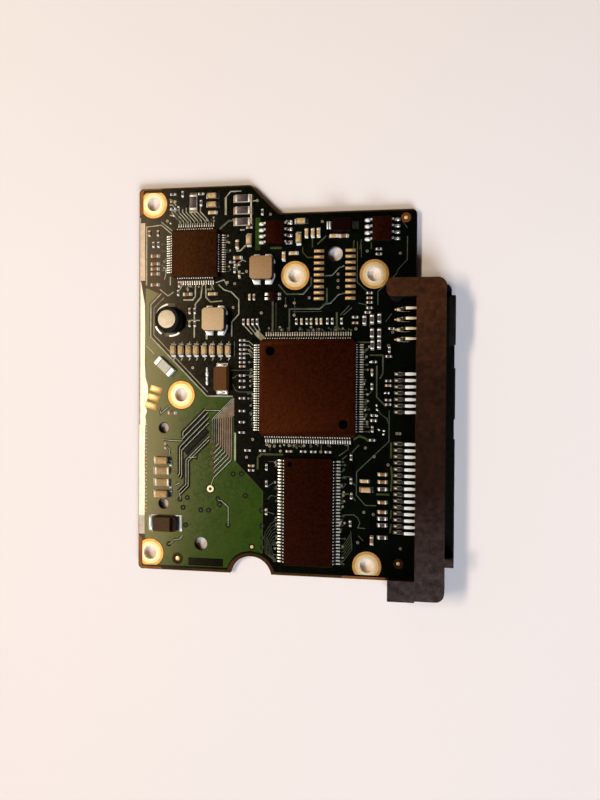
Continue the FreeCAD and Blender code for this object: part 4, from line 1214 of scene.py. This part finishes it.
def drum_cap():
    """Dark ring of the round inductor with the pale end of its core inside."""
    b = local_box("drum_flange")
    z0 = b[2]
    z1 = b[5]
    radius = (b[3] - b[0]) / 2 + DRUM_RIM
    put = turned(*centre(b))
    piece = Piece("drum_cap")
    ring = [(radius - 0.08, z0), (radius, z0 + 0.08), (radius, z1 - 0.16), (radius - 0.1, z1 - 0.06),
            (1.9, z1 - 0.06)]
    lathe(piece, put, ring, 56, FERRITE_DARK)
    lathe(piece, put, [(1.87, z1 - 0.08), (1.87, z1 - 0.03), (1.82, z1)], 56, DRUM_TOP)
    piece.done("dark_ferrite", "drum_flange")


def drum_wire():
    """Turns of enamelled wire under the drum's flange."""
    b = local_box("drum_winding")
    radius = (b[3] - b[0]) / 2
    pitch = (b[5] - b[2]) / DRUM_TURNS
    levels = [(radius - 0.1, b[2])]
    for i in range(DRUM_TURNS):
        z = b[2] + pitch * i
        levels += [(radius - WIRE_DEPTH, z + 0.01), (radius, z + 0.3 * pitch), (radius, z + 0.7 * pitch),
                   (radius - WIRE_DEPTH, z + pitch - 0.01)]
    levels.append((radius - 0.1, b[5]))
    piece = Piece("drum_wire")
    lathe(piece, turned(*centre(b)), levels, 48, WINDING)
    piece.done("winding", "drum_winding")


def drum_solder():
    """Curved solder lines on the board round the drum's base."""
    piece = Piece("drum_solder")
    middle = centre(local_box("drum_base"))
    for first, last, radius in DRUM_ARCS:
        trace(piece, arc(*middle, radius, first, last, 8), 0.42, BRIGHT_TIN, MASK_Z, MASK_Z + 0.16)
    piece.done("tin_plate")


def diode_details():
    """Dark stripe on the diode's right end, and solder at both diodes' feet."""
    x0, y0, _, x1, y1, z1 = local_box("diode_body")
    y = (y0 + y1) / 2
    piece = Piece("diode_details")
    stripe = rectangle(0.74, y1 - y0 - 0.3, 0.05)
    block(piece, turned(x1 - 0.46, y), stripe, z1 - 0.03, z1 + 0.006, 0.004, MOULD_BLACK)
    feet = [(x1 + 0.45, y1 + 0.1, 1.6, 0.34, 0.4, 14, 2.6), (x0 - 1.08, y, 0.9, 3.3, 0.55, 20, 6),
            (x0 - 0.2, y1 + 0.12, 1.7, 0.3, 0.4, 14, 2.6), (x0 - 0.35, y0 - 0.08, 1.2, 0.3, 0.4, 14, 2.6),
            (x1 + 0.98, y, 0.66, 3.4, 0.4, 20, 6)]
    b = local_box("rectifier_body")
    y = centre(b)[1] + 0.1
    feet += [(b[0] - 1.02, y, 0.36, 1.75, 0.3, 16, 5), (b[0] - 0.52, y, 0.4, 1.75, 0.36, 16, 5)]
    for x, y, length, width, height, sides, squareness in feet:
        dome(piece, turned(x, y), length, width, 0.0, height, BRIGHT_TIN, sides, squareness)
    piece.done("tin_plate")


# The shock sensor's middle and angle, and how far from the middle its joints are
SENSOR_PLACE = (5.95, 42.95, -42)
SENSOR_JOINT = 1.32


def sensor_lines():
    """Dark joints between the shock sensor's case and its ends."""
    z1 = local_box("shock_sensor_body")[5]
    put = turned(*SENSOR_PLACE)
    piece = Piece("sensor_lines")
    for u in (-SENSOR_JOINT, SENSOR_JOINT):
        joint = [(u + a, b) for a, b in rectangle(0.16, 1.84, 0.03)]
        block(piece, put, joint, z1 - 0.05, z1 + 0.006, 0.004, DARK_TIN)
    piece.done("sensor_case")


def inductor_top(name, node, material):
    """Square ferrite body with cut corners, rounded edges and a slightly sunk moulding line round its top."""
    b = local_box(node)
    z0 = b[2]
    z1 = b[5]
    half = (b[3] - b[0]) / 2
    piece = Piece(name)
    levels = [(0.06, z0), (0, z0 + 0.06), (0, z1 - 0.34), (0.05, z1 - 0.3), (0.05, z1 - 0.1),
              (0.08, z1 - 0.03), (0.15, z1)]
    stacked(piece, turned(*centre(b)), cut_rectangle(-half, -half, half, half, 0.5), levels, material)
    piece.done("ferrite", node)


def inductor_clips():
    """Metal clips and solder round the corners of the square inductors."""
    piece = Piece("inductor_clips")
    for node in ("inductor_core_1", "inductor_core_2"):
        b = local_box(node)
        put = turned(*centre(b))
        half = (b[3] - b[0]) / 2
        for up, reach in ((-1, 0.85), (1, 0.5)):
            clip = [(half - 0.12, 1.05), (half + 0.1, 1.05), (half + 0.1, half - 0.75),
                    (half - 0.6, half + reach), (0.55, half + reach), (0.55, half - 0.12),
                    (half - 0.6, half - 0.12), (half - 0.12, half - 0.6)]
            for right in (-1, 1):
                outline = [(u * right, v * up) for u, v in clip]
                if right != up:
                    outline.reverse()
                block(piece, put, outline, 0.0, 0.8, 0.14, BRIGHT_TIN)
    piece.done("tin_plate", "inductor_terminals_1", "inductor_terminals_2")


# Edge connector. Outlines that are the same on both sides of a line along X, as places and half widths.
CONTACT_TAIL = [(56.25, 0.27), (56.9, 0.32), (57.5, 0.31), (58.5, 0.22)]
JUMPER_TAIL = [(56.4, 0.27), (57.4, 0.26), (58.5, 0.19)]
JUMPER_PAD = [(-0.9, 0.1), (0.1, 0.42), (0.75, 0.4)]


def mirrored(half):
    return [(x, -y) for x, y in half] + half[::-1]


def bright_tail(piece, b, tail, metal, strip, strip_x, strip_y, strip_height):
    """Bright upper face of a contact's tail, and a strip of solder along each side of its foot."""
    y = centre(b)[1]
    for side, solder in ((-strip_y, DULL_TIN), (strip_y, CREAM_TIN)):
        block(piece, turned(b[0] + strip_x, y + side), strip, 0.0, strip_height, 0.03, solder)
    block(piece, turned(0, y), mirrored(tail), b[5] - 0.04, b[5] + 0.02, 0.02, metal)


def connector_solder():
    """Pads and solder at the feet of the edge connector's contacts, and the contacts' bright upper faces."""
    piece = Piece("connector_solder")
    for b in parts_of("signal_contacts") + parts_of("power_contacts"):
        y = centre(b)[1]
        block(piece, turned(b[0] + 0.5, y), rectangle(1.7, 0.7, 0.08), 0.0, PAD_Z, 0.03, DARK_TIN)
        dome(piece, turned(b[0] + 0.15, y), 0.6, 0.46, PAD_Z - 0.01, 0.24, CREAM_TIN)
        bright_tail(piece, b, CONTACT_TAIL, TAIL_TIN, rectangle(0.95, 0.1, 0.04), 0.85, 0.32, 0.14)
    for b in parts_of("jumper_pins"):
        y = centre(b)[1]
        block(piece, turned(b[0] + 0.5, y), mirrored(JUMPER_PAD), 0.0, PAD_Z, 0.03, PAD_GOLD)
        dome(piece, turned(b[0] + 0.45, y), 1.0, 0.74, PAD_Z - 0.01, 0.5, CREAM_TIN)
        bright_tail(piece, b, JUMPER_TAIL, WORN_GOLD, rectangle(1.7, 0.12, 0.05), 1.8, 0.42, 0.16)
    piece.done("tin_plate")


# Soldered test points by the big chip and the driver, and a column by the tantalum capacitor: y and width
SOLDER_DOTS = [(49.2, 43.9), (50.2, 43.9), (49.5, 42.2), (49.5, 41.3), (49.5, 39.5), (49.5, 38.5),
               (52.2, 37.7), (52.9, 37.7), (50.5, 35.2), (50.6, 34.3), (49.6, 33.1), (50.6, 33.1),
               (49.5, 32.1), (50.3, 32.1), (51.0, 30.3), (52.0, 30.1), (51.9, 29.4), (49.6, 28.2),
               (7.6, 74.6), (6.9, 73.0), (8.6, 76.4)]
COLUMN_X = 15.0
COLUMN_DOTS = [(42.3, 0.4), (41.4, 0.62), (40.5, 0.45), (39.6, 0.55)]


def solder_column():
    """Soldered test points, and the bar that joins the large resistors' ends."""
    piece = Piece("solder_column")
    for i, (x, y) in enumerate(SOLDER_DOTS):
        dome(piece, turned(x, y, 35 * (i % 5)), 0.5, 0.34, MASK_Z, 0.12, BRIGHT_TIN, 10)
    for y, width in COLUMN_DOTS:
        dome(piece, turned(COLUMN_X, y), width, 1.1, MASK_Z, 0.18, BRIGHT_TIN)
    trace(piece, [(24.35, 72.4), (24.35, 78.4)], 0.3, CREAM_TIN, MASK_Z, 0.3)
    piece.done("tin_plate")


# Sloped corner at the connector's lower end: where its edge on the top face starts and ends. It falls 1 in 2.
SLOPE_FROM = (57.2, -1.65)
SLOPE_TO = (66.5, -0.6)
HOUSING_EDGE = 0.12
WEDGE_FACES = [(0, 1, 2), (5, 4, 3), (0, 3, 4, 1), (1, 4, 5, 2), (2, 5, 3, 0)]


def housing_moulding():
    """The connector's moulding with softened edges and a sloped corner at its lower end."""
    z1 = local_box("connector_housing")[5]
    corners = []
    for x, y in (SLOPE_FROM, SLOPE_TO):
        corners += [(x, y + 0.6, z1 + 0.3), (x, y - 2.4, z1 + 0.3), (x, y - 2.4, z1 - 1.2)]
    wedge_mesh = bpy.data.meshes.new("wedge")
    wedge_mesh.from_pydata([world_point(*p) for p in corners], [], WEDGE_FACES)
    wedge = bpy.data.objects.new("wedge", wedge_mesh)
    work = bmesh.new()
    work.from_mesh(nodes["connector_housing"].data)
    bmesh.ops.remove_doubles(work, verts=work.verts, dist=WELD_DISTANCE)
    mesh = bpy.data.meshes.new("housing_moulding")
    work.to_mesh(mesh)
    made = bpy.data.objects.new("housing_moulding", mesh)
    for shape in (made, wedge):
        bpy.context.scene.collection.objects.link(shape)
    cut = made.modifiers.new("slope", "BOOLEAN")
    cut.operation = "DIFFERENCE"
    cut.object = wedge
    bpy.context.view_layer.update()
    result = made.evaluated_get(bpy.context.evaluated_depsgraph_get())
    work.clear()
    work.from_mesh(result.to_mesh())
    bmesh.ops.dissolve_limit(work, angle_limit=math.radians(1), verts=work.verts, edges=work.edges)
    made.modifiers.clear()
    work.to_mesh(mesh)
    work.free()
    bpy.data.objects.remove(wedge)
    mesh.materials.append(HOUSING)
    soften(made, HOUSING_EDGE)
    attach(made, "root")
    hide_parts("connector_housing")


def mating_lips():
    """Black ledges of the moulding along its mating side: over the jumper pins and between the tongues, and a
    rounded shoulder at its upper corner. Their near black is painted shade of the bar, and the shoulder is a
    black block where the bar's shadow falls.
    """
    front = local_box("connector_housing")[3]
    ledge = [(64.0, 46.9), (65.75, 46.9), (65.75, 54.2), (front - 0.05, 54.2), (front - 0.05, 56.7),
             (64.0, 56.7)]
    shoulder = rounded(span(63.4, 56.6, 65.2, 59.0), [0, 0, 1.3, 0])
    lips = [(ledge, 3.4, 4.0), (span(64.8, 28.4, front - 0.2, 33.0), 1.5, 2.2),
            (span(64.8, 42.4, front - 0.2, 47.4), 1.5, 2.2), (shoulder, 1.8, 3.4)]
    piece = Piece("mating_lips")
    for outline, z0, z1 in lips:
        block(piece, turned(0, 0), outline, z0, z1, 0.1, HOUSING_SHADE_BLACK)
    piece.done("connector_plastic")


# Tracks on the underside, 1 mm apart: how many, the first one's line, how much lower the next turns, width
UNDER_BUNDLES = [
    (3, [(8.0, 6.0), (20.0, 18.0), (20.0, 34.0)], 0.0, 0.3),
    (1, [(12.0, 60.0), (28.0, 60.0), (34.0, 66.0)], 0.0, 0.4),
    (1, [(12.0, 58.8), (28.5, 58.8), (34.5, 64.8)], 0.0, 0.4),
    (4, [(30.0, 30.0), (30.0, 46.0), (44.0, 60.0)], 0.4, 0.25),
    (2, [(40.0, 8.0), (40.0, 22.0), (50.0, 32.0)], 0.4, 0.3),
]
UNDER_VIAS = 150
UNDER_MARGIN = 3.0


def underside():
    piece = Piece("underside_tracks")
    for count, line, drop, width in UNDER_BUNDLES:
        for i in range(count):
            moved = [(x + i, y - drop * i * (k > 0)) for k, (x, y) in enumerate(line)]
            trace(piece, moved, width, TRACE, UNDER_Z - 0.03, UNDER_Z - 0.005)
    for _ in range(UNDER_VIAS):
        x = random.uniform(UNDER_MARGIN, BOARD_WIDTH - UNDER_MARGIN)
        y = random.uniform(UNDER_MARGIN, BOARD_LENGTH - STEP_DROP - UNDER_MARGIN)
        clear = all(math.hypot(x - hx, y - hy) > 3.6 for hx, hy in SCREW_HOLES)
        clear = clear and all(math.hypot(x - hx, y - hy) > r + 0.6 for hx, hy, r in PLAIN_HOLES)
        if clear and math.hypot(x - NOTCH_X, y - NOTCH_Y) > NOTCH_R + 1.0:
            annulus(piece, x, y, 0.1, 0.28, UNDER_Z - 0.03, UNDER_Z, DULL_TIN, 12)
    piece.done("solder_mask")


# Finishes of the CAD nodes that stay: material, how far their edges are rounded, and the nodes
NODE_FINISHES = [
    (LAMINATE, 0.0, ["circuit_board"]),
    (CONTACT, 0.0, ["signal_contacts", "power_contacts", "jumper_pins"]),
    (LEAD, 0.0, ["controller_leads", "driver_leads", "memory_leads", "flash_leads", "mosfet_leads",
                 "transistor_leads"]),
    # The rectifier's ends in dark tin are painted shade, as its body shades them.
    (DARK_TIN, 0.0, ["drum_terminals", "rectifier_ends", "diode_ends"]),
    (SOLDER, 0.0, ["tantalum_ends"]),
    (FERRITE_DARK, 0.06, ["drum_base"]),
    (TANTALUM, 0.08, ["tantalum_body"]),
    (MOULD_BLACK, 0.08, ["rectifier_body"]),
    (MOULD_GREY, 0.08, ["diode_body"]),
    (WHITE_CERAMIC, 0.06, ["shock_sensor_body"]),
    (BRIGHT_TIN, 0.05, ["shock_sensor_ends"]),
]


def soften(piece, edge_mm):
    """Rounds a piece's sharp edges a little."""
    weld = piece.modifiers.new("weld", "WELD")
    weld.merge_threshold = WELD_DISTANCE
    bevel = piece.modifiers.new("edges", "BEVEL")
    bevel.width = edge_mm * MM
    bevel.segments = 2
    bevel.limit_method = "ANGLE"
    bevel.angle_limit = math.radians(40)


def finish_nodes():
    for material, edge_mm, names in NODE_FINISHES:
        for name in names:
            nodes[name].data.materials.clear()
            nodes[name].data.materials.append(material)
            if edge_mm:
                soften(nodes[name], edge_mm)


# Floor, lights and camera. The floor's colours are pairs, and its half size and gap are in metres. The
# camera's place is on the board and its turn in degrees.

# The floor is painted brighter to the right, where the lamps give less light, and darker and warmer far back:
# painted light and shade.
FLOOR_LEFT = [(0.875, 0.785, 0.75), (0.89, 0.80, 0.765)]
FLOOR_RIGHT = [(0.965, 0.875, 0.85), (0.985, 0.89, 0.87)]
FLOOR_FAR = [(0.855, 0.755, 0.70), (0.87, 0.77, 0.715)]
FLOOR_GRAIN_MM = 1000 / 6
FLOOR_HALF = 4.0
FLOOR_GAP = 0.0001
CAMERA_PLACE = (66.386, 38.863, 165.979)
CAMERA_TURN = (-0.853, 10.774, 0.370)
CAMERA_LENS_MM = 37.17
CAMERA_SENSOR_MM = 36.0


def floor():
    made, tree, shader = new_material("floor")
    place, axes = split_place(tree)
    mottle = noise(tree, place, FLOOR_GRAIN_MM)
    left, right, far = [wander(tree, mottle, pair) for pair in (FLOOR_LEFT, FLOOR_RIGHT, FLOOR_FAR)]
    # Painted light and shade: the colour changes from left to right and from near to far.
    near = mixed(tree, between(tree, axes["X"], -0.09, 0.07), left, right)
    feed(tree, shader, {
        "Base Color": mixed(tree, between(tree, axes["Y"], 0.02, 0.10), near, far),
        "Roughness": 0.75,
        "Specular IOR Level": 0.2,
    })
    mesh = bpy.data.meshes.new("floor")
    corners = span(-FLOOR_HALF, -FLOOR_HALF, FLOOR_HALF, FLOOR_HALF)
    mesh.from_pydata([(x, y, 0) for x, y in corners], [], [(0, 1, 2, 3)])
    mesh.materials.append(made)
    sheet = bpy.data.objects.new("floor", mesh)
    sheet.location.z = BOARD_LOW.z - FLOOR_GAP
    bpy.context.scene.collection.objects.link(sheet)


def add_lamp(name, kind, energy, colour):
    lamp = bpy.data.lights.new(name, kind)
    lamp.energy = energy
    lamp.color = colour
    made = bpy.data.objects.new(name, lamp)
    bpy.context.scene.collection.objects.link(made)
    return lamp, made


def sun(name, azimuth, elevation, strength, colour, softness):
    """Distant lamp. azimuth is where the light comes from, in degrees from +X towards +Y."""
    lamp, made = add_lamp(name, "SUN", strength, colour)
    lamp.angle = math.radians(softness)
    a = math.radians(azimuth)
    e = math.radians(elevation)
    towards = Vector((math.cos(a) * math.cos(e), math.sin(a) * math.cos(e), math.sin(e)))
    made.rotation_euler = towards.to_track_quat("Z", "Y").to_euler()


def panel(name, place, size_x, size_y, watts, colour, tilt=0):
    """Flat lamp at a place in board millimetres. It faces down, tilted in degrees towards +X."""
    lamp, made = add_lamp(name, "AREA", watts, colour)
    lamp.shape = "RECTANGLE"
    lamp.size = size_x * MM
    lamp.size_y = size_y * MM
    made.location = world_point(*place)
    made.rotation_euler.y = -math.radians(tilt)


def lights():
    sun("window", 290, 36, 3.0, (0.755, 0.855, 1.0), 34)
    panel("side_lamp", (-614, 50, 890), 140, 650, 5.75, (1.0, 0.95, 0.81), 36)
    panel("ceiling_strip", (-133, 40, 300), 60, 220, 0.22, (1.0, 0.66, 0.32))
    world = bpy.data.worlds.new("studio")
    bpy.context.scene.world = world
    world.use_nodes = True
    tree = world.node_tree
    axes = split_place(tree, "Generated")[1]
    bright = ramp(tree, axes["Z"], [(0.0, (0.84, 0.76, 0.70)), (0.25, (0.45, 0.41, 0.37)),
                                    (0.5, (0.15, 0.135, 0.125)), (0.7, (0.04, 0.036, 0.032)),
                                    (0.85, (0.012, 0.011, 0.01))])
    dim = ramp(tree, axes["Z"], [(0.0, (0.10, 0.085, 0.075)), (0.4, (0.03, 0.027, 0.025)),
                                 (0.85, (0.012, 0.011, 0.01))])
    share = between(tree, axes["X"], -0.1, 0.4)
    feed(tree, tree.nodes["Background"], {"Color": mixed(tree, share, bright, dim), "Strength": 1.0})


def camera():
    lens = bpy.data.cameras.new("camera")
    lens.sensor_width = CAMERA_SENSOR_MM
    lens.lens = CAMERA_LENS_MM
    lens.clip_start = 0.005
    lens.clip_end = 20.0
    made = bpy.data.objects.new("camera", lens)
    made.location = world_point(*CAMERA_PLACE)
    made.rotation_euler = [math.radians(degrees) for degrees in CAMERA_TURN]
    bpy.context.scene.collection.objects.link(made)
    bpy.context.scene.camera = made


camera()
floor()
lights()
finish_nodes()
housing_moulding()
mask_sheet("solder_mask_top", 0.0, MASK_Z)
mask_sheet("solder_mask_under", UNDER_Z - 0.02, UNDER_Z)
bare_corners()
copper_pour()
green_tracks()
dark_tracks()
plated_lands()
hole_wall_shade()
contact_pads()
edge_strip()
lead_pads("controller_pads", "controller_leads", 0.24, 0.55, 0.36)
lead_pads("driver_pads", "driver_leads", 0.22, 0.55, 0.4)
lead_pads("memory_pads", "memory_leads", 0.3, 0.3, 0.5)
lead_shoulders()
lead_pads("transistor_pads", "transistor_leads", 0.55, 0.35, 0.4)
chip_body("controller_moulding", "controller_body", MOULD, [(28.85, 46.1, 0.95), (43.95, 31.3, 0.95)], 0.65)
chip_body("driver_moulding", "driver_body", MOULD_BROWN, (), 0.35)
chip_body("memory_moulding", "memory_body", MOULD_DARK, [(33.0, 23.0, 0.5)])
for chip in ("flash", "mosfet", "transistor"):
    chip_body(chip + "_moulding", chip + "_body", MOULD_DARK)
chip_group("resistors_large", "resistors_1206", "resistor_glaze", large_kind)
chip_group("capacitors_large", "capacitors_1206", "capacitor_ceramic", large_kind)
chip_group("capacitors_medium", "capacitors_0805", "capacitor_ceramic", lambda x, y: CAPACITOR, slim=0.82)
chip_group("chip_parts_0603", "chips_0603", "capacitor_ceramic", medium_kind, EXTRA_0603, 0.85)
chip_group("chip_parts_0402", "chips_0402", "capacitor_ceramic", small_kind, EXTRA_0402, 0.9)
inductor_top("inductor_top_1", "inductor_core_1", FERRITE_TAN)
inductor_top("inductor_top_2", "inductor_core_2", FERRITE_GLARE)
inductor_clips()
tantalum_solder()
small_chip_solder("flash_solder", "flash_leads")
small_chip_solder("mosfet_solder", "mosfet_leads")
drum_cap()
drum_wire()
drum_solder()
diode_details()
sensor_lines()
connector_solder()
mating_lips()
solder_column()
underside()

bpy.context.scene.view_settings.view_transform = "Standard"
bpy.context.view_layer.update()
